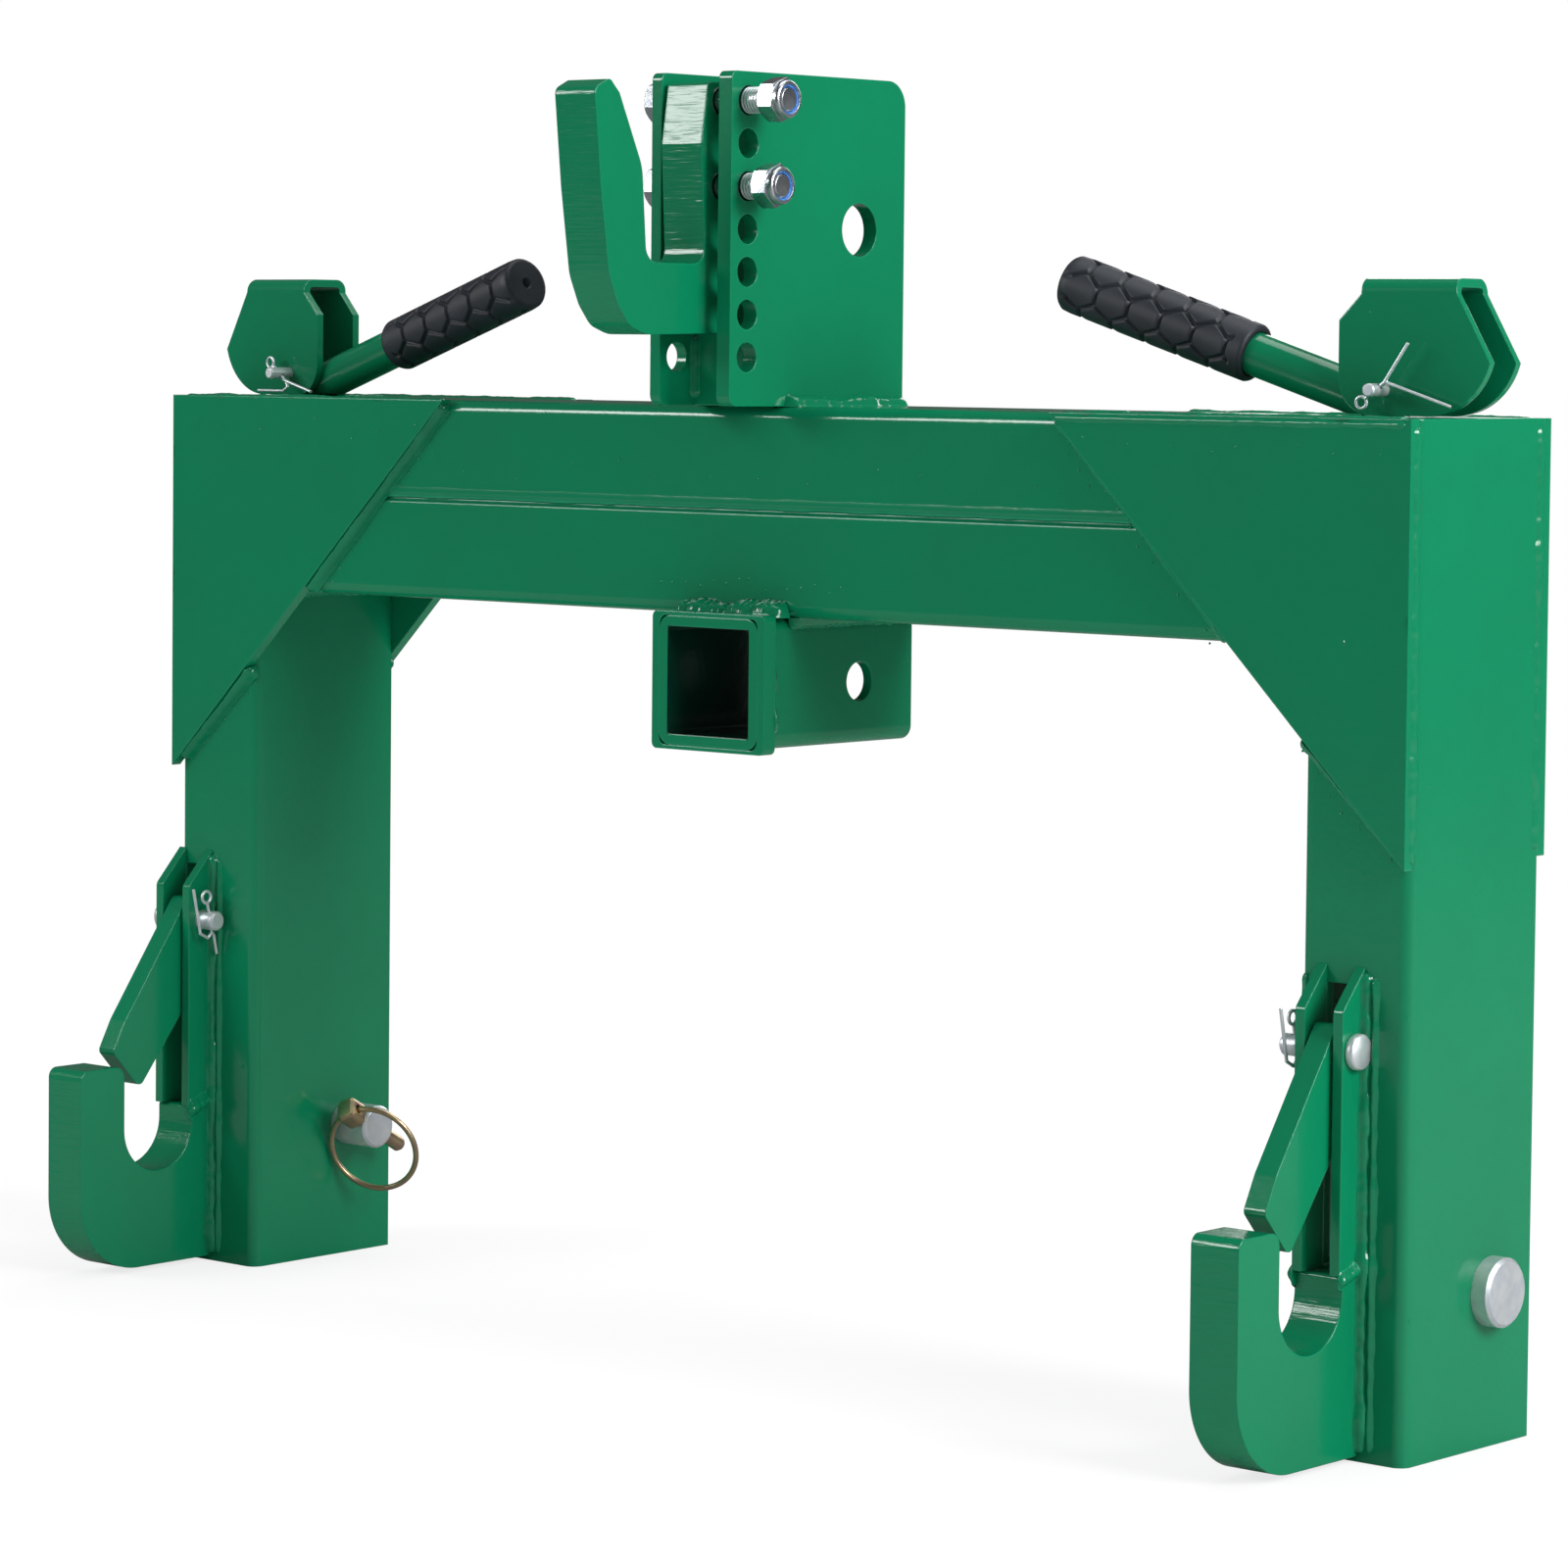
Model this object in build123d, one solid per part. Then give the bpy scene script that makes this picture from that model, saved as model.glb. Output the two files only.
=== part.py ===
"""Three point quick hitch: one STEP file for each piece, all in one shared frame (millimetres)."""
import math
import os

from build123d import *

os.makedirs("parts", exist_ok=True)

# Shared frame: X across the hitch, Y towards the tractor, Z up, origin at the bottom centre of the
# bounding box. Y dimensions below are measured from the front face of the legs; put() adds FRONT.
FRONT = 4.0

# Lower hooks and latches, measured up from the feet
HOOK_T = 25.0
HOOK_REACH = 90.5
HOOK_FOOT = 2.7
THROAT = 47.0
THROAT_BACK = 14.0
SHOULDER = 83.0
SEAT_DROP = 31.3
TIP_RISE = 25.0
SHEET = 5.0
GAP = HOOK_T - 2 * SHEET
LATCH_T = GAP - 3.6
PIVOT_RISE = 97.0
PIVOT = (-7.2, SHOULDER + PIVOT_RISE)
PIVOT_R = 5.0
CHEEK_RISE = 36.0
CHEEK_TOP = PIVOT[1] + CHEEK_RISE
SLOT_TOP = CHEEK_TOP - 8.0
TAIL_REST = 21.04
TAIL_PIN_R = 5.0
CLIP_LEAN = 12.0

# Frame
LEG_OUT = 387.5
LEG_W = 58.0
LEG_IN = LEG_OUT - LEG_W
DEPTH = 98.0
BEND = 6.0
SEAM = 403.4
BEAM_HALF = 50.0
TOP = SEAM + BEAM_HALF
BEAM_BOTTOM = SEAM - BEAM_HALF
CAP_T = 6.0
GUSSET_T = 6.0
GUSSET_CLEAR = 43.4
GUSSET_LOW = CHEEK_TOP + GUSSET_CLEAR
GUSSET_IN = LEG_OUT - (TOP - GUSSET_LOW) - 2.7

# Mast and top hook
BOLT_R = 6.0
MAST_GAP = 36.0
MAST_R_T = 8.0
MAST_L_T = 6.0
MAST_R = (MAST_GAP / 2, MAST_GAP / 2 + MAST_R_T)
MAST_L = (-MAST_GAP / 2 - MAST_L_T, -MAST_GAP / 2)
MAST_FRONT = -36.0
MAST_REAR = DEPTH - 7.0
ADJUST_N = 7
ADJUST_PITCH = 20.0
ADJUST_FOOT = 23.0
ADJUST_EDGE = 13.6
ADJUST_R = BOLT_R + 1.0
ADJUST_Y = MAST_FRONT + 12.0
ADJUST_TOP = TOP + ADJUST_FOOT + (ADJUST_N - 1) * ADJUST_PITCH
MAST_TOP = ADJUST_TOP + ADJUST_EDGE
TOP_LINK = (DEPTH - 40.7, TOP + 84.3)
TOP_LINK_R = 12.75
TOP_HOOK_T = 25.0
TOP_HOOK_X = (MAST_L[1] + 2.5, MAST_L[1] + 2.5 + TOP_HOOK_T)
TOP_HOOK_HOLE_R = BOLT_R + 0.8
SPACER_T = 8.0
SPACER_H = 36.1
SPACER_FRONT = ADJUST_Y + 13.0
SPACER_CLEAR = 0.5
BOLT_Z = (ADJUST_TOP, ADJUST_TOP - 2 * ADJUST_PITCH)
BOLT_FLATS = 2 * (BOLT_R + 3.5)
BOLT_HEAD_T = 7.5
NUT_FLATS = 2 * (BOLT_R + 3.3)
NUT_T = 9.0
NUT_FACE = (MAST_R[1] + 13.0, MAST_R[1] + 9.6)
INSERT_R = BOLT_R + 1.2
INSERT_T = 1.9

# Receiver
BORE = 51.2
WALL = 5.4
TUBE = BORE + 2 * WALL
MOUTH = -20.0
TUBE_Y = (MOUTH, DEPTH - 3.7)
TUBE_MID = BEAM_BOTTOM - TUBE / 2
MOUTH_T = 8.0
RECEIVER_PIN = (DEPTH - 43.1, TUBE_MID - 1.1)
RECEIVER_PIN_R = 9.5

# Pull rods and levers
ROD_R = 5.0
ROD_X = LEG_IN + SHEET + ROD_R + 3.5
ROD_Y = 50.0
LEVER_RISE = 11.8
CAM_CLEAR = 0.5
LEVER_Z = TOP + LEVER_RISE
LEVER_TURN = 4.96
PLATE_T = 4.0
LEVER_W = 28.0
LEVER_PIN_R = 3.0
HANDLE_R = LEVER_W / 2 - PLATE_T - 0.02
HANDLE_WALL = 2.48
GRIP_R = HANDLE_R + 3.42
SLOPE = 18.0
TAIL_ALONG = (ROD_Y - PIVOT[0]) / math.cos(math.radians(TAIL_REST))
TAIL_Z = PIVOT[1] - TAIL_ALONG * math.sin(math.radians(TAIL_REST))
PADDLE_T = 6.0
LATCH_CLEAR = 0.5
PADDLE_R_X = ROD_X - 3.5
PADDLE_L_X = ROD_X - PADDLE_T / 2
COLLAR_T = 6.0
COLLAR_R = ROD_R + 3.0
COLLAR_Z = TOP - 129.4
SPRING_R = ROD_R + 1.9
SPRING_WIRE = 1.05

# Where the lower hooks stand along the beam
HOOK_R_X = PADDLE_R_X + PADDLE_T + LATCH_CLEAR + LATCH_T / 2
HOOK_L_X = HOOK_T / 2 - LEG_OUT

# Lower link pins
LINK = (DEPTH - 31.7, 69.3)
LINK_R = 11.1
LINK_END = LEG_IN - 24.5
LINK_HEAD = 9.0
LINK_HEAD_R = LINK_R + 4.4
LINCH_R = 4.0
CROSS_X = LINK_END + LINCH_R + 2.2
LINCH_TILT = 30.0
LINCH_HEAD = LINK_R + 6.1
RING_R = 23.5
RING_WIRE = 1.5
RING_TURN = 28.0
RING_HANG = 34.0


def put(name, shape):
    """Writes one node, moved from the legs' front face to the shared frame."""
    export_step(shape.moved(Location((0, FRONT, 0))), "parts/" + name + ".step")


def flip(shape):
    """Mirrors a right-hand piece to the left side."""
    return mirror(shape, about=Plane.YZ)


def face(points, radii=None, plane=Plane.XY):
    """A closed outline with a rounding for each corner, as a face on a plane."""
    if radii is None:
        line = Polyline(*points, close=True)
    else:
        line = FilletPolyline(*points, radius=list(radii), close=True)
    return plane * make_face(line)


def plate_x(points, x0, x1, radii=None):
    """A plate between two X positions, outlined in (Y, Z)."""
    return extrude(face(points, radii, Plane.YZ.offset(x0)), amount=x1 - x0)


def plate_y(points, y0, y1, radii=None):
    """A plate between two Y positions, outlined in (X, Z)."""
    return extrude(face(points, radii, Plane.XZ.offset(-y1)), amount=y1 - y0)


def box(x0, x1, y0, y1, z0, z1):
    """A box given by its six faces."""
    return Pos((x0 + x1) / 2, (y0 + y1) / 2, (z0 + z1) / 2) * Box(x1 - x0, y1 - y0, z1 - z0)


def bar_x(x0, x1, y, z, r):
    """A round bar along X."""
    return Pos((x0 + x1) / 2, y, z) * Rot(0, 90, 0) * Cylinder(r, abs(x1 - x0))


def bar(p, q, r):
    """A round bar between two points."""
    a = Vector(*p)
    d = Vector(*q) - a
    return extrude(Plane(origin=a, z_dir=d) * Circle(r), amount=d.length)


def wire(points, r):
    """A bent wire: round bars with ball corners."""
    shape = bar(points[0], points[1], r)
    for p, q in zip(points[1:-1], points[2:]):
        shape = shape + Pos(*p) * Sphere(r) + bar(p, q, r)
    return shape


def chamfered_end(shape, axis, size, last=True):
    """Breaks the edge of one flat end of a turned piece."""
    faces = shape.faces().sort_by(axis)
    end = faces[-1] if last else faces[0]
    return chamfer(end.edges(), size)


# Frame pieces

def leg_channel(hook_x):
    """Folded channel, open to the rear, with the slot for the latch and the two link pin holes."""
    x0, x1 = LEG_IN, LEG_OUT
    inner = BEND - SHEET
    points = [(x0, DEPTH), (x0, 0), (x1, 0), (x1, DEPTH), (x1 - SHEET, DEPTH), (x1 - SHEET, SHEET),
              (x0 + SHEET, SHEET), (x0 + SHEET, DEPTH)]
    leg = extrude(face(points, [0, BEND, BEND, 0, 0, inner, inner, 0]), amount=TOP)
    leg -= bar_x(x0 - 1, x1 + 1, LINK[0], LINK[1], LINK_R + 0.15)
    leg -= box(hook_x - GAP / 2, hook_x + GAP / 2, -1, BEND, SHOULDER + 1, SLOT_TOP)
    return leg


def leg_cap():
    """Plate let in flush between the flanges, with the hole for the pull rod."""
    x0, x1 = LEG_IN + SHEET, LEG_OUT - SHEET
    points = [(x0, SHEET), (x1, SHEET), (x1, DEPTH), (x0, DEPTH)]
    r = BEND - SHEET
    cap = Pos(0, 0, TOP - CAP_T) * extrude(face(points, [r, r, 0, 0]), amount=CAP_T)
    return cap - Pos(ROD_X, ROD_Y, TOP) * Cylinder(ROD_R + 0.1, 40)


def beam_channel(low, high, web_low):
    """Half of the cross beam: a folded channel whose free edges carry the weld groove."""
    groove = 1.6
    inner = BEND - SHEET
    if web_low:
        points = [(0, high - groove), (0, low), (DEPTH, low), (DEPTH, high - groove), (DEPTH - groove, high),
                  (DEPTH - SHEET, high), (DEPTH - SHEET, low + SHEET), (SHEET, low + SHEET), (SHEET, high),
                  (groove, high)]
        radii = [0, BEND, BEND, 0, 0, 0, inner, inner, 0, 0]
    else:
        points = [(0, low + groove), (0, high), (DEPTH, high), (DEPTH, low + groove), (DEPTH - groove, low),
                  (DEPTH - SHEET, low), (DEPTH - SHEET, high - SHEET), (SHEET, high - SHEET), (SHEET, low),
                  (groove, low)]
        radii = [0, BEND, BEND, 0, 0, 0, inner, inner, 0, 0]
    return plate_x(points, -LEG_IN, LEG_IN, radii)


def gusset(y0, y1):
    """Corner plate over beam and leg."""
    points = [(GUSSET_IN, TOP), (LEG_OUT, TOP), (LEG_OUT, GUSSET_LOW)]
    return plate_y(points, y0, y1)


# Mast pieces

def mast_plate(x0, x1):
    """Upright with the row of adjusting holes and the top link hole."""
    points = [(MAST_FRONT, TOP), (MAST_REAR, TOP), (MAST_REAR, MAST_TOP), (MAST_FRONT, MAST_TOP)]
    shape = plate_x(points, x0, x1, [5, 0, 12.5, 3.5])
    for i in range(ADJUST_N):
        shape -= bar_x(x0 - 1, x1 + 1, ADJUST_Y, ADJUST_TOP - i * ADJUST_PITCH, ADJUST_R)
    return shape - bar_x(x0 - 1, x1 + 1, TOP_LINK[0], TOP_LINK[1], TOP_LINK_R)


def top_hook():
    """Flame-cut hook, bolted between the mast plates."""
    rear = SPACER_FRONT - SPACER_CLEAR - ADJUST_Y
    shape = [(-78, 7.6), (-88.27, 2.6), (-83.5, -42.4), (-77.5, -82.4), (-71, -96.4), (-63, -105.9), (-51, -109.9),
             (rear, -108.4), (rear, 9.6), (-10.2, 8.6), (-14.6, -20.4), (-12, -67.7), (-12, -76.4), (-52, -76.4),
             (-55.4, -32.4), (-71.3, 1.0)]
    points = [(ADJUST_Y + y, ADJUST_TOP + z) for y, z in shape]
    radii = [3, 4, 60, 20, 12, 12, 20, 3, 2, 2, 6, 4, 7, 8, 24, 3]
    hook = plate_x(points, TOP_HOOK_X[0], TOP_HOOK_X[1], radii)
    for z in BOLT_Z:
        hook -= bar_x(MAST_L[0], MAST_R[1], ADJUST_Y, z, TOP_HOOK_HOLE_R)
    return hook


def hexagon_x(x0, x1, y, z, flats, turn=0.0):
    """A hexagonal bar along X."""
    sketch = Plane.YZ.offset(x0) * (Pos(y, z) * Rot(0, 0, turn) * RegularPolygon(flats / math.sqrt(3), 6))
    return extrude(sketch, amount=x1 - x0)


def top_hook_bolts():
    """Two hexagon bolts, heads on the left, threads towards the right."""
    bolts = []
    for z, nut in zip(BOLT_Z, NUT_FACE):
        head_out = MAST_L[0] - BOLT_HEAD_T
        head = hexagon_x(head_out, MAST_L[0], ADJUST_Y, z, BOLT_FLATS, 12.0)
        head = head & cone_blank(head_out, MAST_L[0], ADJUST_Y, z, BOLT_FLATS / 2 + 0.1, BOLT_FLATS / 2 + 1.8)
        shank = bar_x(MAST_L[0] - 1, nut + NUT_T + 2.9, ADJUST_Y, z, BOLT_R)
        shank = chamfered_end(shank, Axis.X, 1.0)
        bolts.append(head + shank)
    return Compound(bolts)


def cone_blank(x0, x1, y, z, r0, r1):
    """A round blank whose first end is narrower, to turn the corners off a hexagon."""
    run = min(1.6, x1 - x0)
    cone = Pos(x0 + run / 2, y, z) * Rot(0, 90, 0) * Cone(r0, r1, run)
    return cone + bar_x(x0 + run, x1, y, z, r1)


def top_hook_nuts():
    """Two lock nuts with a round collar at the outer end."""
    nuts = []
    for z, x in zip(BOLT_Z, NUT_FACE):
        end = x + NUT_T
        body = hexagon_x(x, end, ADJUST_Y, z, NUT_FLATS, 20.0)
        body = body & cone_blank(x, end, ADJUST_Y, z, NUT_FLATS / 2 - 0.1, NUT_FLATS / 2 + 1.7)
        collar = bar_x(end - 0.5, end + 3.4, ADJUST_Y, z, INSERT_R + 1.8)
        collar = fillet(collar.faces().sort_by(Axis.X)[-1].edges(), 1.7)
        nut = body + collar - bar_x(x - 1, end + 4, ADJUST_Y, z, BOLT_R + 0.05)
        nut -= bar_x(end + 0.5, end + 0.5 + INSERT_T, ADJUST_Y, z, INSERT_R)
        nut -= bar_x(end + 0.5 + INSERT_T, end + 4, ADJUST_Y, z, INSERT_R - 0.3)
        nuts.append(nut)
    return Compound(nuts)


def nut_inserts():
    """The nylon rings inside the collars."""
    rings = []
    for z, x in zip(BOLT_Z, NUT_FACE):
        low = x + NUT_T + 0.5
        ring = bar_x(low, low + INSERT_T, ADJUST_Y, z, INSERT_R)
        rings.append(ring - bar_x(low - 1, low + INSERT_T + 1, ADJUST_Y, z, BOLT_R + 0.05))
    return Compound(rings)


# Receiver

def receiver_tube():
    """Square tube under the beam with the cross pin hole."""
    length = TUBE_Y[1] - TUBE_Y[0]
    outer = Plane.XZ.offset(-TUBE_Y[1]) * (Pos(0, TUBE_MID) * RectangleRounded(TUBE, TUBE, 7))
    inner = Plane.XZ.offset(-TUBE_Y[1]) * (Pos(0, TUBE_MID) * RectangleRounded(BORE, BORE, 2))
    tube = extrude(outer, amount=length) - extrude(inner, amount=length)
    return tube - bar_x(-TUBE, TUBE, RECEIVER_PIN[0], RECEIVER_PIN[1], RECEIVER_PIN_R)


def receiver_collar():
    """Reinforcing collar around the mouth of the receiver."""
    plane = Plane.XZ.offset(-(MOUTH + MOUTH_T))
    outer = plane * (Pos(0, TUBE_MID) * RectangleRounded(TUBE + 9, TUBE + 4, 3))
    inner = plane * (Pos(0, TUBE_MID) * RectangleRounded(TUBE, TUBE, 4))
    return extrude(outer, amount=MOUTH_T) - extrude(inner, amount=MOUTH_T)


# Lower hooks, cheeks and latches

def lower_hook(xc):
    """Flame-cut hook on the front of a leg."""
    back, front = -THROAT_BACK, -THROAT_BACK - THROAT
    seat, tip = SHOULDER - SEAT_DROP, SHOULDER + TIP_RISE
    points = [(0, HOOK_FOOT), (-HOOK_REACH, HOOK_FOOT), (-HOOK_REACH, tip), (front, tip), (front, seat),
              (back, seat), (back, SHOULDER), (0, SHOULDER)]
    round_seat = THROAT / 2 - 0.1
    radii = [3, 39, 5, 6, round_seat, round_seat, 2, 0]
    return plate_x(points, xc - HOOK_T / 2, xc + HOOK_T / 2, radii)


def cheek(x0):
    """Plate on the hook's shoulder that carries the latch pin."""
    points = [(-16.5, SHOULDER), (-16.5, CHEEK_TOP - 18), (0, CHEEK_TOP), (0, SHOULDER)]
    shape = plate_x(points, x0, x0 + SHEET, [0, 4, 0, 0])
    return shape - bar_x(x0 - 1, x0 + SHEET + 1, PIVOT[0], PIVOT[1], PIVOT_R + 0.08)


def tail_point(along, across):
    """A point on the latch's tail, measured from the pivot along and across it at rest."""
    a = math.radians(TAIL_REST)
    y = PIVOT[0] + along * math.cos(a) + across * math.sin(a)
    z = PIVOT[1] - along * math.sin(a) + across * math.cos(a)
    return (y, z)


def latch(xc):
    """Latch bar with its tail, cut from one plate, slotted for the tail pin."""
    end = TAIL_ALONG + 11.715
    front = [(-55.6, -65.3), (-37.1, -85.4), (-7.3, -47.8), (15.2, -18.7)]
    back = [(-3.7, 12.0), (-47.3, -49.6)]
    points = [(PIVOT[0] + y, PIVOT[1] + z) for y, z in front]
    points += [tail_point(end, -12), tail_point(end, 12), tail_point(2, 12)]
    points += [(PIVOT[0] + y, PIVOT[1] + z) for y, z in back]
    radii = [3, 3.5, 20, 10, 11, 11, 10, 4, 14]
    shape = plate_x(points, xc - LATCH_T / 2, xc + LATCH_T / 2, radii)
    shape -= bar_x(xc - LATCH_T, xc + LATCH_T, PIVOT[0], PIVOT[1], PIVOT_R + 0.08)
    r = TAIL_PIN_R + 0.5
    ends = [TAIL_ALONG - 4.285, TAIL_ALONG + 0.215]
    slot = [tail_point(ends[0], -r), tail_point(ends[1], -r), tail_point(ends[1], r), tail_point(ends[0], r)]
    shape -= plate_x(slot, xc - LATCH_T, xc + LATCH_T)
    for along in ends:
        y, z = tail_point(along, 0)
        shape -= bar_x(xc - LATCH_T, xc + LATCH_T, y, z, r)
    return shape


def latch_pin(xc, out):
    """Headed pin through the cheeks, its head on the outer side."""
    outer = xc + out * HOOK_T / 2
    inner = xc - out * (HOOK_T / 2 + 12)
    pin = bar_x(inner, outer, PIVOT[0], PIVOT[1], PIVOT_R)
    pin = chamfered_end(pin, Axis.X, 1.0, last=out < 0)
    head = bar_x(outer, outer + out * 4, PIVOT[0], PIVOT[1], PIVOT_R + 2.0)
    head = chamfered_end(head, Axis.X, 0.8, last=out > 0)
    pin = pin + head
    x = xc - out * (HOOK_T / 2 + 6)
    a = math.radians(CLIP_LEAN)
    dy, dz = 20 * math.sin(a), 20 * math.cos(a)
    return pin - bar((x, PIVOT[0] - dy, PIVOT[1] + dz), (x, PIVOT[0] + dy, PIVOT[1] - dz), 1.5)


def latch_clip(xc, out):
    """Split pin through the latch pin, its eye above and one leg bent forward."""
    x = xc - out * (HOOK_T / 2 + 6)
    a = math.radians(CLIP_LEAN)

    def at(along, across):
        y = PIVOT[0] - along * math.sin(a) + across * math.cos(a)
        z = PIVOT[1] + along * math.cos(a) + across * math.sin(a)
        return (x, y, z)

    r = PIVOT_R
    eye = at(r + 7.6, 0)
    ring = Pos(*eye) * Rot(0, 90, 0) * Torus(3.0, 0.8)
    leg = wire([at(r + 4.8, 0), at(-r - 1.5, 0), at(-r - 3.5, 1.0), at(-r - 13.5, 1.0)], 0.8)
    hook = [at(-r - 3.6, -3.5), at(-r, -r - 3.0), at(r + 14.0, -r - 3.0)]
    bent = wire([at(r + 4.8, 0), at(-r - 1.6, 0)] + hook, 0.8)
    return ring + leg + bent


# Link pins

def link_pin():
    """Lower link pin through both flanges, with a head outside and a cross hole inside."""
    pin = bar_x(LINK_END, LEG_OUT, LINK[0], LINK[1], LINK_R)
    pin = chamfered_end(pin, Axis.X, 1.2, last=False)
    head = bar_x(LEG_OUT, LEG_OUT + LINK_HEAD, LINK[0], LINK[1], LINK_HEAD_R)
    head = chamfered_end(head, Axis.X, 1.5)
    return pin + head - linch_axis_bar(-2 * LINK_R, 2 * LINK_R, LINCH_R + 0.15)


def linch_point(along, across=0.0, side=0.0):
    """A point near the linch pin: along its shaft towards the head, across it, and along X."""
    a = math.radians(LINCH_TILT)
    y = LINK[0] - along * math.cos(a) + across * math.sin(a)
    z = LINK[1] + along * math.sin(a) + across * math.cos(a)
    return (CROSS_X + side, y, z)


def linch_axis_bar(a0, a1, r):
    """A bar on the linch pin's shaft axis."""
    return bar(linch_point(a0), linch_point(a1), r)


def ring_frame():
    """Hinge point, hinge direction and hanging direction of the linch ring."""
    a = math.radians(LINCH_TILT)
    shaft = Vector(0, -math.cos(a), math.sin(a))
    across = Vector(0, math.sin(a), math.cos(a))
    side = Vector(-1, 0, 0)
    turn = math.radians(RING_TURN)
    hinge = side * math.cos(turn) + across * math.sin(turn)
    square = hinge.cross(shaft)
    hang = math.radians(RING_HANG)
    down = shaft * -math.cos(hang) - square * math.sin(hang)
    return Vector(*linch_point(LINCH_HEAD)), hinge, down


def linch_pin():
    """Shaft and head of the linch pin, with the hole that the ring turns in."""
    point, hinge, down = ring_frame()
    foot = -LINK_R - 12.9
    shaft = linch_axis_bar(foot, LINK_R + 2.9, LINCH_R)
    tip = linch_axis_bar(foot - 1.5, foot, LINCH_R - 1)
    a = math.radians(LINCH_TILT)
    shaft_dir = Vector(0, -math.cos(a), math.sin(a))
    plane = Plane(origin=point - shaft_dir * 5.4, x_dir=hinge, z_dir=shaft_dir)
    head = extrude(plane * RectangleRounded(11, 12.5, 3), amount=10.8)
    head = chamfer(head.faces().sort_by(Axis((0, 0, 0), tuple(shaft_dir)))[-1].edges(), 1.5)
    hole = bar(point - hinge * 12, point + hinge * 12, RING_WIRE + 0.9)
    return shaft + tip + head - hole


def linch_ring():
    """Wire ring through the head of the linch pin."""
    point, hinge, down = ring_frame()
    centre = point + down * RING_R
    plane = Plane(origin=centre, x_dir=down, z_dir=hinge.cross(down))
    return plane.location * Torus(RING_R, RING_WIRE)


# Pull rod group

def pull_rod(side):
    """Round rod with an eye for the lever pin and a flat paddle beside the latch's tail."""
    top = LEVER_Z + 7.0
    low = TAIL_Z + 16.0
    rod = Pos(ROD_X, ROD_Y, (top + low) / 2) * Cylinder(ROD_R, top - low)
    rod = chamfered_end(rod, Axis.Z, 1.0)
    a = math.radians(LEVER_TURN)
    dx, dy = -math.sin(a) * 10, math.cos(a) * 10
    rod -= bar((ROD_X - dx, ROD_Y - dy, LEVER_Z), (ROD_X + dx, ROD_Y + dy, LEVER_Z), LEVER_PIN_R + 0.08)
    x0 = PADDLE_R_X if side > 0 else PADDLE_L_X
    points = [(ROD_Y - 12, TAIL_Z - 12), (ROD_Y + 12, TAIL_Z - 12), (ROD_Y + 12, TAIL_Z + 34),
              (ROD_Y - 12, TAIL_Z + 34)]
    paddle = plate_x(points, x0, x0 + PADDLE_T, [11, 11, 5, 5])
    return rod + paddle - bar_x(x0 - 1, x0 + PADDLE_T + 1, ROD_Y, TAIL_Z, TAIL_PIN_R)


def tail_pin(side):
    """Pin welded through the paddle that lifts the latch's tail."""
    start = ROD_X - 4.5
    end = HOOK_R_X + LATCH_T / 2 + 2.1 if side > 0 else LATCH_T / 2 + 0.9 - HOOK_L_X
    return chamfered_end(bar_x(start, end, ROD_Y, TAIL_Z, TAIL_PIN_R), Axis.X, 0.8)


def rod_collar():
    """Collar on the rod that the return spring pushes down."""
    collar = Pos(ROD_X, ROD_Y, COLLAR_Z + COLLAR_T / 2) * (Cylinder(COLLAR_R, COLLAR_T) - Cylinder(ROD_R, COLLAR_T))
    return chamfer(collar.faces().sort_by(Axis.Z)[0].edges().sort_by(SortBy.LENGTH)[-1:], 1.0)


def return_spring():
    """Compression spring between the collar and the underside of the cap."""
    low = COLLAR_Z + COLLAR_T + SPRING_WIRE + 0.05
    high = TOP - CAP_T - SPRING_WIRE - 0.05
    turns = 9
    path = Helix((high - low) / turns, high - low, SPRING_R)
    spring = sweep(Plane(origin=path @ 0, z_dir=path % 0) * RegularPolygon(SPRING_WIRE, 8), path=path)
    return Pos(ROD_X, ROD_Y, low) * spring


# Lever group, in the lever's own frame: u outwards along X, v to the rear, origin on the lever pin

def lever_place(shape):
    """Turns a lever piece about its rod and moves it to the right-hand pull rod."""
    return Pos(ROD_X, ROD_Y, LEVER_Z) * Rot(0, 0, LEVER_TURN) * shape


def lever_outline():
    """Cam outline of the bracket plates."""
    cx, cz = 21.6, 20.6
    r = cz + LEVER_RISE - CAM_CLEAR
    edge = []
    low_left = 16.0
    edge.append(Line((-22.7 + low_left, cz - r), (cx, cz - r)))
    edge.append(CenterArc((cx, cz), r, -90, 75))
    corner = edge[-1] @ 1
    edge.append(Polyline(corner, (35.7, 42.2), (35.0, 49.0), (-11.7, 49.0), (-11.7, 42.2), (-22.7, 30.6),
                         (-22.7, cz - r + low_left)))
    edge.append(CenterArc((-22.7 + low_left, cz - r + low_left), low_left, 180, 90))
    edges = []
    for line in edge:
        edges += line.edges()
    return make_face(Wire(edges))


def lever_bracket():
    """Folded sheet bracket: two cam plates joined by a web on top."""
    half = LEVER_W / 2
    outer = extrude(Plane.XZ.offset(-half) * lever_outline(), amount=LEVER_W)
    top_edges = outer.edges().filter_by(Axis.X).group_by(Axis.Z)[-1]
    outer = fillet(top_edges, 6.0)
    inner = half - PLATE_T
    core = box(-60, 80, -inner, inner, -40, 49.0 - PLATE_T)
    core = fillet(core.edges().filter_by(Axis.X).group_by(Axis.Z)[-1], 2.0)
    bracket = outer - core
    return bracket - Rot(90, 0, 0) * Cylinder(LEVER_PIN_R + 0.05, 60)


def tube_axis(u):
    """Point on the handle's axis at a given u."""
    return (u, 0.0, 15.3 - (u + 73.4) * math.tan(math.radians(SLOPE)))


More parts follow.
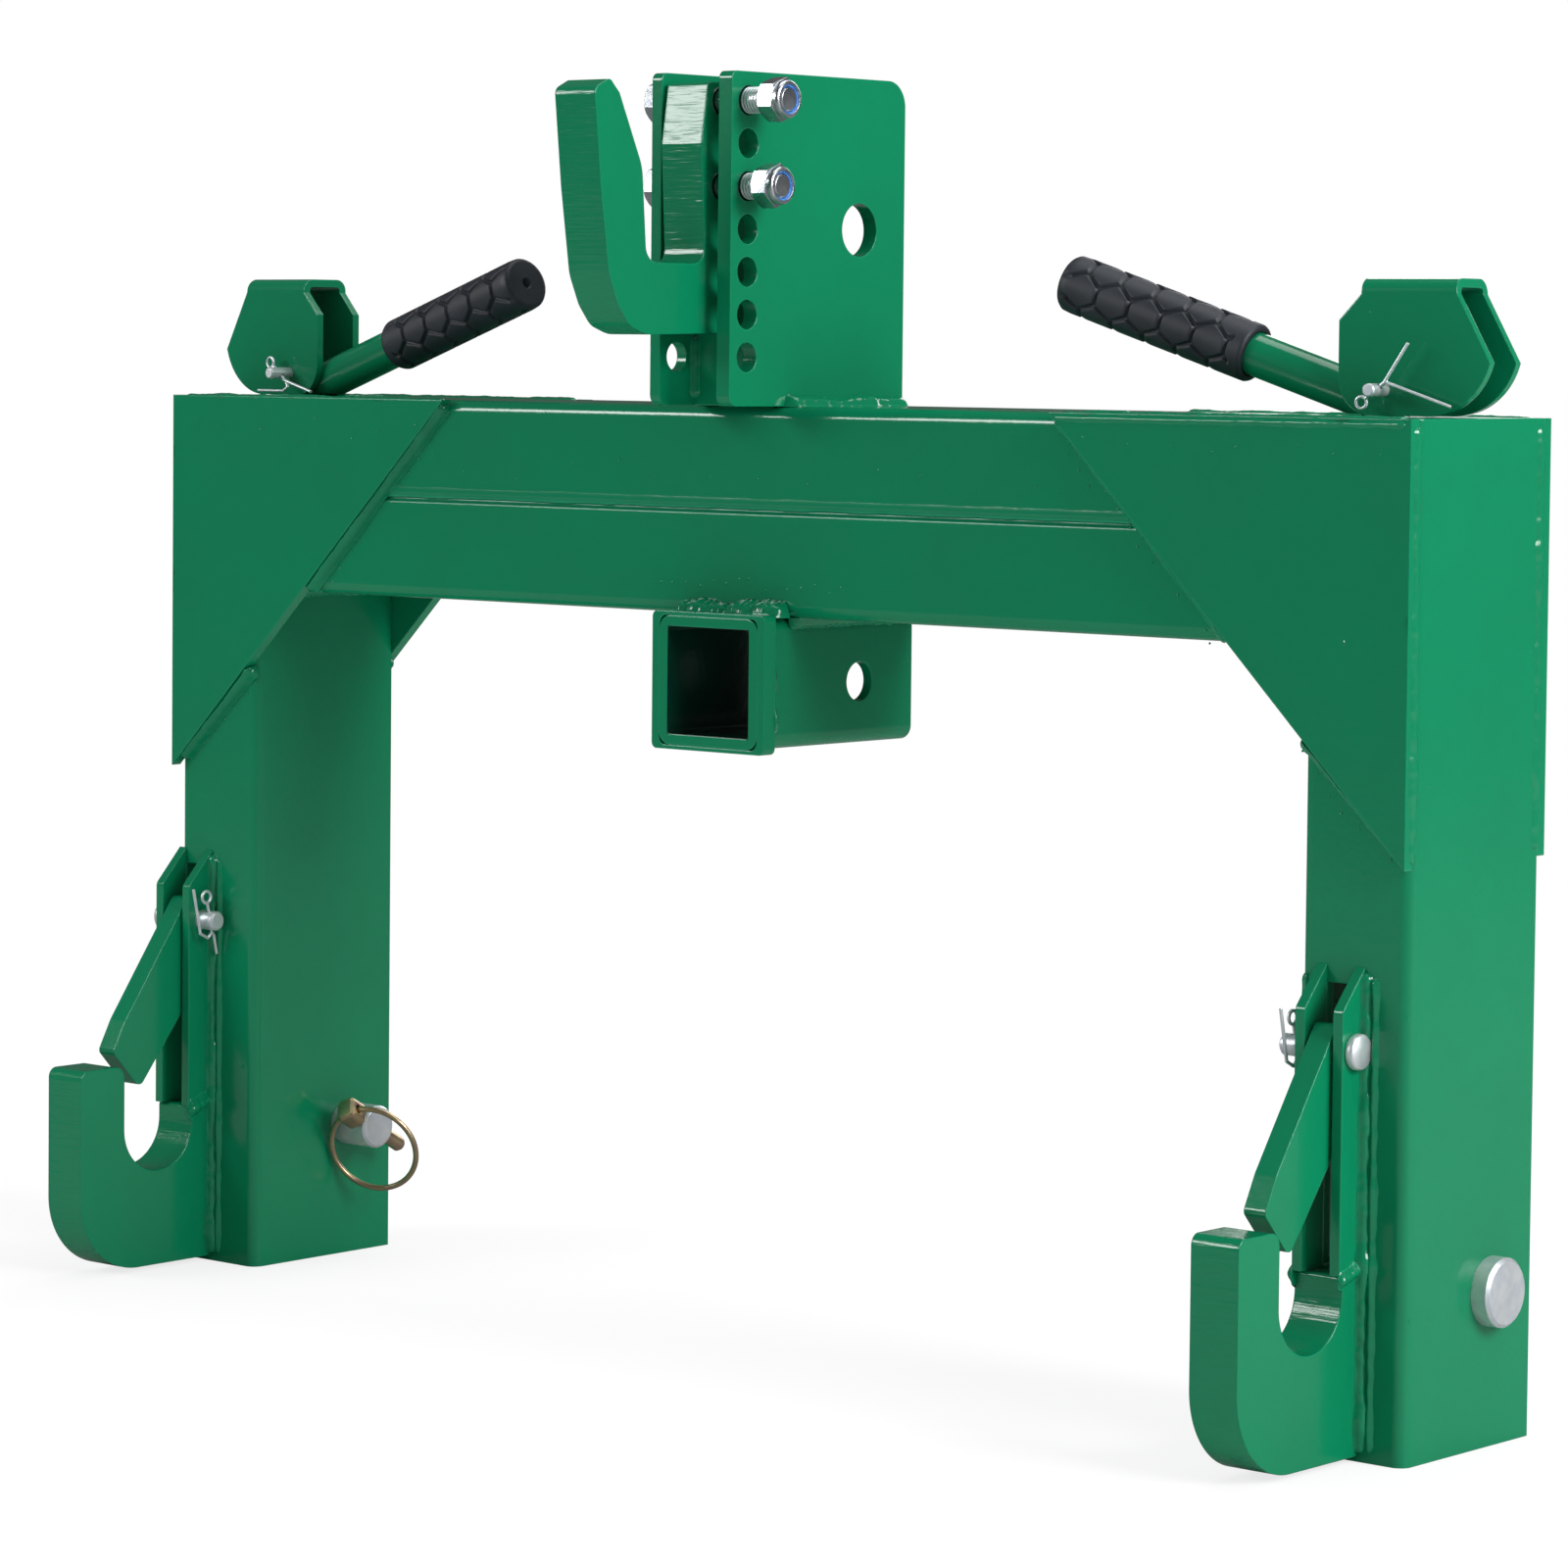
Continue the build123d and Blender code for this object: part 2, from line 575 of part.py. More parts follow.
def handle_tube():
    """Bare tube from the bracket into the grip."""
    tube = bar(tube_axis(8), tube_axis(-166), HANDLE_R) - bar(tube_axis(20), tube_axis(-170), HANDLE_R - HANDLE_WALL)
    tube -= box(-10.0, 40, -20, 20, -60, 60)
    return tube - box(-60, 40, -20, 20, -60, 1.2 - LEVER_RISE)


def grip():
    """Rubber grip with a closed end."""
    start = tube_axis(-73.4)
    end = tube_axis(-170.9)
    shape = bar(start, end, GRIP_R)
    shape = fillet(shape.faces().sort_by(Axis.X)[0].edges(), 3.0)
    shape = chamfer(shape.faces().sort_by(Axis.X)[-1].edges(), 1.5)
    shape -= bar(tube_axis(-70), tube_axis(-166), HANDLE_R)
    return shape - bar(tube_axis(-160), tube_axis(-176), 2.5)


CLIP_V = -LEVER_W / 2 - 7.0
CLIP_HOLES = (38.0,)


def lever_pin():
    """Pin through bracket and rod, headed at the rear, cross-drilled at the front."""
    half = LEVER_W / 2
    pin = Pos(0, -7.0, 0) * Rot(90, 0, 0) * Cylinder(LEVER_PIN_R, LEVER_W + 14.0)
    pin = chamfered_end(pin, Axis.Y, 0.6, last=False)
    head = Pos(0, half + 1.5, 0) * Rot(90, 0, 0) * Cylinder(5.5, 3.0)
    pin = pin + chamfered_end(head, Axis.Y, 0.7)
    for angle in CLIP_HOLES:
        a = math.radians(angle)
        du, dz = 10 * math.cos(a), 10 * math.sin(a)
        pin -= bar((-du, CLIP_V, -dz), (du, CLIP_V, dz), 1.4)
    return pin


def lever_clip(eye, mouth, legs):
    """Split pin: an eye, two legs through the cross hole, and the legs bent apart beyond it."""
    ring = Pos(eye[0], CLIP_V, eye[1]) * Rot(90, 0, 0) * Torus(2.6, 0.75)
    length = math.hypot(*eye)
    back = (eye[0] * (1 - 2.6 / length), eye[1] * (1 - 2.6 / length))
    shape = ring
    for v, leg in zip((CLIP_V - 0.4, CLIP_V + 0.4), legs):
        points = [(back[0], v, back[1]), (mouth[0], v, mouth[1])]
        points += [(u, v, z) for u, z in leg]
        shape = shape + wire(points, 0.75)
    return shape


# Export

put("right_leg_channel", leg_channel(HOOK_R_X))
put("left_leg_channel", flip(leg_channel(-HOOK_L_X)))
put("right_leg_cap", leg_cap())
put("left_leg_cap", flip(leg_cap()))
put("upper_beam_channel", beam_channel(SEAM, TOP, False))
put("lower_beam_channel", beam_channel(BEAM_BOTTOM, SEAM, True))
for label, y_low, y_high in (("front", -GUSSET_T, 0.0), ("rear", DEPTH, DEPTH + GUSSET_T)):
    put(label + "_right_gusset", gusset(y_low, y_high))
    put(label + "_left_gusset", flip(gusset(y_low, y_high)))

put("right_mast_plate", mast_plate(*MAST_R))
put("left_mast_plate", mast_plate(*MAST_L))
put("mast_spacer", box(MAST_L[1], MAST_R[0], SPACER_FRONT, SPACER_FRONT + SPACER_T, TOP, TOP + SPACER_H))
put("top_hook", top_hook())
put("top_hook_bolts", top_hook_bolts())
put("top_hook_nuts", top_hook_nuts())
put("nut_inserts", nut_inserts())
put("receiver_tube", receiver_tube())
put("receiver_collar", receiver_collar())

for name, xc, out in (("right", HOOK_R_X, 1), ("left", HOOK_L_X, -1)):
    put(name + "_lower_hook", lower_hook(xc))
    high_x = xc + GAP / 2
    low_x = xc - HOOK_T / 2
    put(name + "_outer_cheek", cheek(high_x if out > 0 else low_x))
    put(name + "_inner_cheek", cheek(low_x if out > 0 else high_x))
    put(name + "_latch", latch(xc))
    put(name + "_latch_pin", latch_pin(xc, out))
    put(name + "_latch_clip", latch_clip(xc, out))

put("right_link_pin", link_pin())
put("left_link_pin", flip(link_pin()))
put("right_linch_pin", linch_pin())
put("left_linch_pin", flip(linch_pin()))
put("right_linch_ring", linch_ring())
put("left_linch_ring", flip(linch_ring()))

put("right_pull_rod", pull_rod(1))
put("left_pull_rod", flip(pull_rod(-1)))
put("right_tail_pin", tail_pin(1))
put("left_tail_pin", flip(tail_pin(-1)))
put("right_rod_collar", rod_collar())
put("left_rod_collar", flip(rod_collar()))
put("right_return_spring", return_spring())
put("left_return_spring", flip(return_spring()))

clips = {
    "right": lever_clip((-7.0, -5.5), (4.6, 3.6), ([(16.0, 20.7)], [(37.0, -6.8)])),
    "left": lever_clip((7.0, 5.5), (-4.6, -3.6), ([(-27.0, -9.4)], [(-7.0, -7.0), (-3.0, -9.2), (17.5, -9.2)])),
}
for name, place in (("right", lever_place), ("left", lambda shape: flip(lever_place(shape)))):
    put(name + "_lever_bracket", place(lever_bracket()))
    put(name + "_handle_tube", place(handle_tube()))
    put(name + "_grip", place(grip()))
    put(name + "_lever_pin", place(lever_pin()))
    put(name + "_lever_clip", place(clips[name]))
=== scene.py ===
"""Looks of the three point quick hitch: powder coated welded frame, zinc pins and rubber grips."""

import logging
import math
from dataclasses import dataclass, field
from enum import Enum
from typing import Callable, ClassVar, Dict, List, Optional, Sequence, Tuple, Union

import bmesh
import bpy
from mathutils import Matrix, Vector, noise


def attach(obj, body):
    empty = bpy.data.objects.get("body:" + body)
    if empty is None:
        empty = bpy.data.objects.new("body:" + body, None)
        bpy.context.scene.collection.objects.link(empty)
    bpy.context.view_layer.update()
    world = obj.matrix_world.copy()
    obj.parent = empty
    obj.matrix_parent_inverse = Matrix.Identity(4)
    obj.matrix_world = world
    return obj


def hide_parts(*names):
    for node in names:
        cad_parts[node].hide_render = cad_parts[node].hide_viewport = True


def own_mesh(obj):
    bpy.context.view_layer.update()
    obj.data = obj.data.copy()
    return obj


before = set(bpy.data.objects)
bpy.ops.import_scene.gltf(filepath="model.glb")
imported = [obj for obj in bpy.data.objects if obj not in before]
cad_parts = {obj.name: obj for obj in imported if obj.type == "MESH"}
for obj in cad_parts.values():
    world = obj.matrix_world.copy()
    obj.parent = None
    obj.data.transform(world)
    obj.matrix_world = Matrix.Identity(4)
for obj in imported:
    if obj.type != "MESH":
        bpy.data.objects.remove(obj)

LOG = logging.getLogger("quick_hitch")
Colour = Tuple[float, float, float]
Point = Tuple[float, float, float]
Pair = Tuple[float, float]
Span = Union[float, Pair]
Line = Tuple[Vector, Vector]

# A millimetre in metres, then main sizes of the frame in millimetres.
MM = 0.001
FRONT_FACE_Y = 4.0
BEAM_TOP = 453.4
BEAM_BOTTOM = 353.4
LEG_OUT = 387.5
LEG_IN = 329.5

# A weld bead's section: the share of its outline that lies open, and how deep the rest is sunk, in metres.
BEAD_OPEN = 0.7
BEAD_SUNK = 0.00015

UP: Point = (0, 0, 1)
DOWN: Point = (0, 0, -1)
FORWARD: Point = (0, -1, 0)
BACKWARD: Point = (0, 1, 0)


def at(x: float, y: float, z: float) -> Vector:
    """Turns millimetres, with Y counted from the legs' front face, into a point in metres."""
    return Vector((x, y + FRONT_FACE_Y, z)) * MM


def run(x: Span, y: Span, z: Span) -> Line:
    """A straight line.

    Args:
        x: its X in millimetres, or a pair for its start and its end.
        y: its Y, given likewise.
        z: its Z, given likewise.

    Returns:
        Its start and its end, in metres.
    """
    pairs = [value if isinstance(value, tuple) else (value, value) for value in (x, y, z)]
    start, end = (at(*values) for values in zip(*pairs))
    return start, end


def aimed(place: Vector, direction: Vector, axis: str = "Z") -> Matrix:
    """Transform that puts a thing at a place with one of its axes along a direction."""
    return Matrix.Translation(place) @ direction.to_track_quat(axis, "Y").to_matrix().to_4x4()


def as_object(name: str, mesh: bmesh.types.BMesh, material: bpy.types.Material) -> bpy.types.Object:
    """Turns a finished mesh into an object of the scene.

    Args:
        name: name of the object.
        mesh: its mesh, which is freed.
        material: its material.

    Returns:
        The new object.
    """
    data = bpy.data.meshes.new(name)
    mesh.to_mesh(data)
    mesh.free()
    data.materials.append(material)
    made = bpy.data.objects.new(name, data)
    bpy.context.scene.collection.objects.link(made)
    return made


class Side(Enum):
    """The two legs of the hitch, with the sign of X on each."""

    LEFT = -1
    RIGHT = 1

    @property
    def label(self) -> str:
        """Name used by this leg's nodes and bodies."""
        return self.name.lower()


class NodeSheet:
    """A shader node tree with short calls for adding nodes and linking them."""

    def __init__(self, tree: bpy.types.NodeTree) -> None:
        """Keeps the tree that the nodes go into.

        Args:
            tree: node tree of a material or of a node group.
        """
        self.tree = tree

    def add(self, kind: str, **settings: object) -> bpy.types.Node:
        """Adds a node.

        Args:
            kind: Blender's type name for the node.
            settings: attributes of the node, such as operation.

        Returns:
            The new node.
        """
        node = self.tree.nodes.new(kind)
        for key, value in settings.items():
            setattr(node, key, value)
        return node

    def link(self, source: bpy.types.NodeSocket, target: bpy.types.NodeSocket) -> None:
        """Joins an output to an input."""
        self.tree.links.new(source, target)

    def maths(self, operation: str, *values: object, clamp: bool = False) -> bpy.types.NodeSocket:
        """Adds a Math node.

        Args:
            operation: the operation's name.
            values: up to three sockets or numbers.
            clamp: whether the result is held between 0 and 1.

        Returns:
            The node's output.
        """
        node = self.add("ShaderNodeMath", operation=operation, use_clamp=clamp)
        for socket, value in zip(node.inputs, values):
            if isinstance(value, (int, float)):
                socket.default_value = value
            else:
                self.link(value, socket)
        return node.outputs[0]

    def object_point(self, scale: Point = (1.0, 1.0, 1.0)) -> bpy.types.NodeSocket:
        """Object coordinates, stretched by a Mapping node.

        Args:
            scale: factor on each axis.

        Returns:
            The mapped vector.
        """
        place = self.add("ShaderNodeTexCoord")
        mapping = self.add("ShaderNodeMapping")
        mapping.inputs["Scale"].default_value = scale
        self.link(place.outputs["Object"], mapping.inputs["Vector"])
        return mapping.outputs["Vector"]

    def noise(self, vector: bpy.types.NodeSocket, scale: float, detail: float = 3.0) -> bpy.types.NodeSocket:
        """A noise value over a vector.

        Args:
            vector: where the noise is read.
            scale: waves per metre.
            detail: octaves.

        Returns:
            The noise value, 0 to 1.
        """
        node = self.add("ShaderNodeTexNoise")
        node.inputs["Scale"].default_value = scale
        node.inputs["Detail"].default_value = detail
        self.link(vector, node.inputs["Vector"])
        return node.outputs["Fac"]

    def ramp(self, value: bpy.types.NodeSocket, low: float, high: float) -> bpy.types.NodeSocket:
        """Maps a value so that low becomes 0 and high becomes 1, held in between."""
        node = self.add("ShaderNodeMapRange", clamp=True)
        node.inputs["From Min"].default_value = low
        node.inputs["From Max"].default_value = high
        self.link(value, node.inputs["Value"])
        return node.outputs["Result"]

    def blend(self, mask: bpy.types.NodeSocket, first: object, second: object) -> bpy.types.NodeSocket:
        """Mixes two colours by a mask.

        Args:
            mask: 0 for the first colour, 1 for the second.
            first: a colour or a colour socket.
            second: a colour or a colour socket.

        Returns:
            The mixed colour.
        """
        node = self.add("ShaderNodeMix", data_type="RGBA")
        self.link(mask, node.inputs[0])
        for socket, value in ((node.inputs[6], first), (node.inputs[7], second)):
            if isinstance(value, tuple):
                socket.default_value = (*value, 1.0)
            else:
                self.link(value, socket)
        return node.outputs[2]


class EffectGroup:
    """A shared surface effect, built once as a node group."""

    built: ClassVar[Dict[str, bpy.types.NodeTree]] = {}

    def __init__(self, name: str, inputs: Sequence[Tuple[str, float]], output: str) -> None:
        """Starts a group with number inputs and one number output.

        Args:
            name: name of the group.
            inputs: names and defaults of the inputs.
            output: name of the output.
        """
        self.tree = bpy.data.node_groups.new(name, "ShaderNodeTree")
        for label, value in inputs:
            socket = self.tree.interface.new_socket(label, in_out="INPUT", socket_type="NodeSocketFloat")
            socket.default_value = value
        self.tree.interface.new_socket(output, in_out="OUTPUT", socket_type="NodeSocketFloat")
        self.sheet = NodeSheet(self.tree)
        self.inputs = self.sheet.add("NodeGroupInput").outputs
        self.output = self.sheet.add("NodeGroupOutput").inputs[0]

    @classmethod
    def get(cls, name: str) -> bpy.types.NodeTree:
        """Gives a group by name, building it the first time.

        Args:
            name: one of the effects below.

        Returns:
            The node group.
        """
        if name not in cls.built:
            builders: Dict[str, Callable[[], bpy.types.NodeTree]] = {
                "orange_peel": cls.orange_peel,
                "flame_cut": cls.flame_cut,
                "painted_edge_highlight": cls.painted_edge_highlight,
                "handling": cls.handling,
            }
            cls.built[name] = builders[name]()
        return cls.built[name]

    @classmethod
    def orange_peel(cls) -> bpy.types.NodeTree:
        """Height of a coat that flowed unevenly, with a few nibs of dust under it."""
        group = cls("orange_peel", [("Wave", 380.0), ("Nibs", 1.0)], "Height")
        sheet = group.sheet
        wave = sheet.add("ShaderNodeTexNoise")
        wave.inputs["Detail"].default_value = 1.5
        sheet.link(sheet.object_point(), wave.inputs["Vector"])
        sheet.link(group.inputs["Wave"], wave.inputs["Scale"])
        cells = sheet.add("ShaderNodeTexVoronoi", feature="F1")
        cells.inputs["Scale"].default_value = 62.0
        sheet.link(sheet.object_point(), cells.inputs["Vector"])
        far = sheet.ramp(cells.outputs["Distance"], low=0.02, high=0.075)
        near = sheet.maths("SUBTRACT", 1.0, far, clamp=True)
        rare = sheet.add("ShaderNodeSeparateColor")
        sheet.link(cells.outputs["Color"], rare.inputs[0])
        chosen = sheet.maths("GREATER_THAN", rare.outputs[0], 0.9)
        nib = sheet.maths("MULTIPLY", sheet.maths("MULTIPLY", near, chosen), group.inputs["Nibs"])
        sheet.link(sheet.maths("ADD", wave.outputs["Fac"], nib), group.output)
        return group.tree

    @classmethod
    def flame_cut(cls) -> bpy.types.NodeTree:
        """Height of the lines that a cutting flame leaves across the edge of a plate that lies in YZ."""
        group = cls("flame_cut", [("Lines", 420.0)], "Height")
        sheet = group.sheet
        lines = sheet.add("ShaderNodeTexNoise")
        lines.inputs["Detail"].default_value = 2.0
        sheet.link(sheet.object_point((0.06, 1.0, 1.0)), lines.inputs["Vector"])
        sheet.link(group.inputs["Lines"], lines.inputs["Scale"])
        normal = sheet.add("ShaderNodeNewGeometry")
        split = sheet.add("ShaderNodeSeparateXYZ")
        sheet.link(normal.outputs["Normal"], split.inputs[0])
        edge = sheet.maths("LESS_THAN", sheet.maths("ABSOLUTE", split.outputs["X"]), 0.5)
        sheet.link(sheet.maths("MULTIPLY", lines.outputs["Fac"], edge), group.output)
        return group.tree

    @classmethod
    def painted_edge_highlight(cls) -> bpy.types.NodeTree:
        """Mask of the narrow band along an edge, where a highlight is painted as paler green."""
        group = cls("painted_edge_highlight", [("Width", 0.0015), ("Strength", 1.0)], "Mask")
        sheet = group.sheet
        bevel = sheet.add("ShaderNodeBevel", samples=6)
        sheet.link(group.inputs["Width"], bevel.inputs["Radius"])
        plain = sheet.add("ShaderNodeNewGeometry")
        dot = sheet.add("ShaderNodeVectorMath", operation="DOT_PRODUCT")
        sheet.link(bevel.outputs["Normal"], dot.inputs[0])
        sheet.link(plain.outputs["Normal"], dot.inputs[1])
        turn = sheet.maths("SUBTRACT", 1.0, dot.outputs["Value"], clamp=True)
        band = sheet.ramp(turn, low=0.01, high=0.2)
        sheet.link(sheet.maths("MULTIPLY", band, group.inputs["Strength"]), group.output)
        return group.tree

    @classmethod
    def handling(cls) -> bpy.types.NodeTree:
        """Mask of broad, faint patches left by hands and packing."""
        group = cls("handling", [("Size", 14.0), ("Share", 0.5)], "Mask")
        sheet = group.sheet
        cloud = sheet.add("ShaderNodeTexNoise")
        cloud.inputs["Detail"].default_value = 5.0
        cloud.inputs["Roughness"].default_value = 0.62
        sheet.link(sheet.object_point(), cloud.inputs["Vector"])
        sheet.link(group.inputs["Size"], cloud.inputs["Scale"])
        level = sheet.maths("SUBTRACT", 0.75, group.inputs["Share"])
        high = sheet.maths("SUBTRACT", cloud.outputs["Fac"], level)
        sheet.link(sheet.maths("MULTIPLY", high, 2.2, clamp=True), group.output)
        return group.tree


@dataclass(frozen=True)
class Finish:
    """Common parts of every finish."""

    name: str
    slot: str

    def start(self) -> Tuple[bpy.types.Material, NodeSheet, bpy.types.Node]:
        """Makes the material with its surface shader.

        Returns:
            The material, its node sheet and the shader node.
        """
        material = bpy.data.materials.new(self.name)
        material.use_nodes = True
        sheet = NodeSheet(material.node_tree)
        return material, sheet, material.node_tree.nodes["Principled BSDF"]

    def effect(self, sheet: NodeSheet, name: str, **values: float) -> bpy.types.NodeSocket:
        """Places a shared effect in the material.

        Args:
            sheet: the material's nodes.
            name: the effect.
            values: its inputs.

        Returns:
            The effect's output.
        """
        node = sheet.add("ShaderNodeGroup")
        node.node_tree = EffectGroup.get(name)
        for label, value in values.items():
            node.inputs[label].default_value = value
        return node.outputs[0]

    def bump(self, sheet: NodeSheet, shader: bpy.types.Node, height: bpy.types.NodeSocket, depth: float,
             edge: float = 0.0) -> None:
        """Gives the shader a relief, on top of softly rounded edges.

        Args:
            sheet: the material's nodes.
            shader: the surface shader.
            height: the relief.
            depth: its depth in metres.
            edge: radius of the rounding in metres, or 0 for none.
        """
        node = sheet.add("ShaderNodeBump")
        node.inputs["Strength"].default_value = 1.0
        node.inputs["Distance"].default_value = depth
        sheet.link(height, node.inputs["Height"])
        if edge > 0:
            bevel = sheet.add("ShaderNodeBevel", samples=8)
            bevel.inputs["Radius"].default_value = edge
            sheet.link(bevel.outputs["Normal"], node.inputs["Normal"])
        sheet.link(node.outputs["Normal"], shader.inputs["Normal"])


@dataclass(frozen=True)
class Bore:
    """The inside of a square tube along Y: half its width, its floor and its roof, in metres."""

    half: float
    low: float
    high: float


@dataclass(frozen=True)
class PowderCoat(Finish):
    """Glossy green powder coat, optionally with painted shade inside a bore or with cutting lines."""

    colour: Colour = (0.0016, 0.155, 0.068)
    # pale: the paler green painted along edges as a highlight.
    pale: Colour = (0.004, 0.20, 0.10)
    dull: Colour = (0.0016, 0.138, 0.060)
    roughness: float = 0.13
    edge: float = 0.0011
    relief: float = 0.00007
    cut_edges: bool = False
    line_height: float = 4.5
    bore: Optional[Bore] = None
    # The near-black green painted inside the bore as shade.
    painted_bore_shade: Colour = (0.0006, 0.022, 0.013)

    def build(self) -> bpy.types.Material:
        """Builds the material.

        Returns:
            The finished material.
        """
        material, sheet, shader = self.start()
        patches = self.effect(sheet, "handling", Size=9.0, Share=0.5)
        # Painted highlight: the edges are coloured paler green.
        painted_edge_highlight_mask = self.effect(sheet, "painted_edge_highlight", Width=0.0016, Strength=0.7)
        toned = sheet.blend(patches, self.colour, self.dull)
        coated = sheet.blend(painted_edge_highlight_mask, toned, self.pale)
        # Painted shade: the inside of the bore is coloured near black.
        if self.bore is not None:
            coated = sheet.blend(self.painted_bore_shade_mask(sheet, self.bore), coated, self.painted_bore_shade)
        sheet.link(coated, shader.inputs["Base Color"])
        rough = sheet.maths("MULTIPLY_ADD", patches, 0.06, self.roughness)
        sheet.link(rough, shader.inputs["Roughness"])
        shader.inputs["Specular IOR Level"].default_value = 0.42
        shader.inputs["Coat Weight"].default_value = 0.15
        shader.inputs["Coat Roughness"].default_value = 0.05
        shader.inputs["Coat IOR"].default_value = 1.45
        height = self.effect(sheet, "orange_peel", Wave=300.0, Nibs=3.0)
        if self.cut_edges:
            lines = sheet.maths("MULTIPLY", self.effect(sheet, "flame_cut", Lines=560.0), self.line_height)
            height = sheet.maths("ADD", height, lines)
        self.bump(sheet, shader, height, self.relief, self.edge)
        return material

    def painted_bore_shade_mask(self, sheet: NodeSheet, bore: Bore) -> bpy.types.NodeSocket:
        """Mask of a bore, whose inside is painted dark as shade.

        Args:
            sheet: the material's nodes.
            bore: where it lies.

        Returns:
            1 inside the bore and 0 elsewhere.
        """
        split = sheet.add("ShaderNodeSeparateXYZ")
        sheet.link(sheet.object_point(), split.inputs[0])
        narrow = sheet.maths("LESS_THAN", sheet.maths("ABSOLUTE", split.outputs["X"]), bore.half)
        above = sheet.maths("GREATER_THAN", split.outputs["Z"], bore.low)
        below = sheet.maths("LESS_THAN", split.outputs["Z"], bore.high)
        return sheet.maths("MULTIPLY", narrow, sheet.maths("MULTIPLY", above, below))


@dataclass(frozen=True)
class ZincPlate(Finish):
    """Bright plated steel, white or yellow."""

    colour: Colour = (0.62, 0.65, 0.67)
    tint: Colour = (0.50, 0.54, 0.60)
    roughness: float = 0.2
    grain: Point = (1.0, 1.0, 1.0)
    metallic: float = 1.0

    def build(self) -> bpy.types.Material:
        """Builds the material.

        Returns:
            The finished material.
        """
        material, sheet, shader = self.start()
        shader.inputs["Metallic"].default_value = self.metallic
        bloom = sheet.ramp(sheet.noise(sheet.object_point(), scale=130.0, detail=2.0), low=0.38, high=0.62)
        sheet.link(sheet.blend(bloom, self.colour, self.tint), shader.inputs["Base Color"])
        smear = self.effect(sheet, "handling", Size=60.0, Share=0.45)
        rough = sheet.maths("MULTIPLY_ADD", smear, 0.16, self.roughness)
        sheet.link(rough, shader.inputs["Roughness"])
        drawn = sheet.noise(sheet.object_point(self.grain), scale=900.0, detail=2.0)
        self.bump(sheet, shader, drawn, depth=0.00004, edge=0.0004)
        return material


@dataclass(frozen=True)
class GripRubber(Finish):
    """Moulded black rubber with a dusty bloom."""

    colour: Colour = (0.008, 0.011, 0.016)
    bloom: Colour = (0.018, 0.022, 0.030)
    roughness: float = 0.46

    def build(self) -> bpy.types.Material:
        """Builds the material.

        Returns:
            The finished material.
        """
        material, sheet, shader = self.start()
        dust = self.effect(sheet, "handling", Size=45.0, Share=0.5)
        sheet.link(sheet.blend(dust, self.colour, self.bloom), shader.inputs["Base Color"])
        rough = sheet.maths("MULTIPLY_ADD", dust, 0.12, self.roughness)
        sheet.link(rough, shader.inputs["Roughness"])
        shader.inputs["Specular IOR Level"].default_value = 0.42
        grain = sheet.noise(sheet.object_point(), scale=1800.0, detail=2.0)
        self.bump(sheet, shader, grain, depth=0.00005)
        return material


@dataclass(frozen=True)
class NylonRing(Finish):
    """Blue nylon of the lock nuts."""

    colour: Colour = (0.03, 0.13, 0.42)
    pale: Colour = (0.06, 0.20, 0.52)

    def build(self) -> bpy.types.Material:
        """Builds the material.

        Returns:
            The finished material.
        """
        material, sheet, shader = self.start()
        mottled = sheet.ramp(sheet.noise(sheet.object_point(), scale=700.0), low=0.4, high=0.6)
        sheet.link(sheet.blend(mottled, self.colour, self.pale), shader.inputs["Base Color"])
        shader.inputs["Roughness"].default_value = 0.4
        self.bump(sheet, shader, sheet.noise(sheet.object_point(), scale=1500.0), depth=0.00003, edge=0.0003)
        return material


class Finishes:
    """Every material of the hitch, built once and handed out by name."""

    def __init__(self) -> None:
        """Builds the materials."""
        coats = (
            PowderCoat("green_coat_folded", "green_coat"),
            PowderCoat("green_coat_plate", "green_coat", edge=0.0009),
            PowderCoat("green_coat_flame_cut", "green_coat", cut_edges=True, edge=0.0014),
            PowderCoat("green_coat_weld", "green_coat", edge=0.0),
            # The receiver tube's bore is painted dark as shade.
            PowderCoat("green_coat_tube", "green_coat", bore=Bore(0.0258, 0.2965, 0.3483)),
            ZincPlate("bright_zinc", "zinc"),
            ZincPlate("turned_zinc", "zinc", colour=(0.72, 0.75, 0.77), tint=(0.62, 0.67, 0.72),
                      grain=(1.0, 0.12, 0.12), roughness=0.34, metallic=0.78),
            ZincPlate("yellow_zinc", "yellow_zinc", colour=(0.66, 0.53, 0.30), tint=(0.58, 0.42, 0.30),
                      roughness=0.28),
            ZincPlate("spring_wire", "spring_steel", colour=(0.34, 0.34, 0.36), tint=(0.24, 0.25, 0.28),
                      roughness=0.32),
            GripRubber("grip_rubber_black", "grip_rubber"),
            NylonRing("nylon_blue", "blue_nylon"),
        )
        self.slots = {coat.name: coat.slot for coat in coats}
        self.materials = {coat.name: coat.build() for coat in coats}

    def dress(self, finish: str, *nodes: str) -> None:
        """Gives CAD nodes a material.

        Args:
            finish: name of the material.
            nodes: names of the nodes.
        """
        for name in nodes:
            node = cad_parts[name]
            if not node.material_slots:
                node.data.materials.append(self.materials[finish])
            for slot in node.material_slots:
                slot.material = self.materials[finish]
        LOG.info("dressed %d nodes in %s", len(nodes), finish)

    def piece(self, name: str, mesh: bmesh.types.BMesh, finish: str, body: str = "frame",
              replaces: Sequence[str] = (), smooth: bool = True) -> bpy.types.Object:
        """Turns a finished mesh into a piece that rides on a body.

        Args:
            name: name of the piece.
            mesh: its mesh, in metres, in the shared frame.
            finish: name of its material.
            body: the body it rides on.
            replaces: CAD nodes that it stands for.
            smooth: whether its faces are shaded smooth.

        Returns:
            The new object.
        """
        for face in mesh.faces:
            face.smooth = smooth
        made = as_object(name, mesh, self.materials[finish])
        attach(made, body)
        if replaces:
            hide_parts(*replaces)
        LOG.info("piece %s: %d faces", name, len(made.data.polygons))
        return made


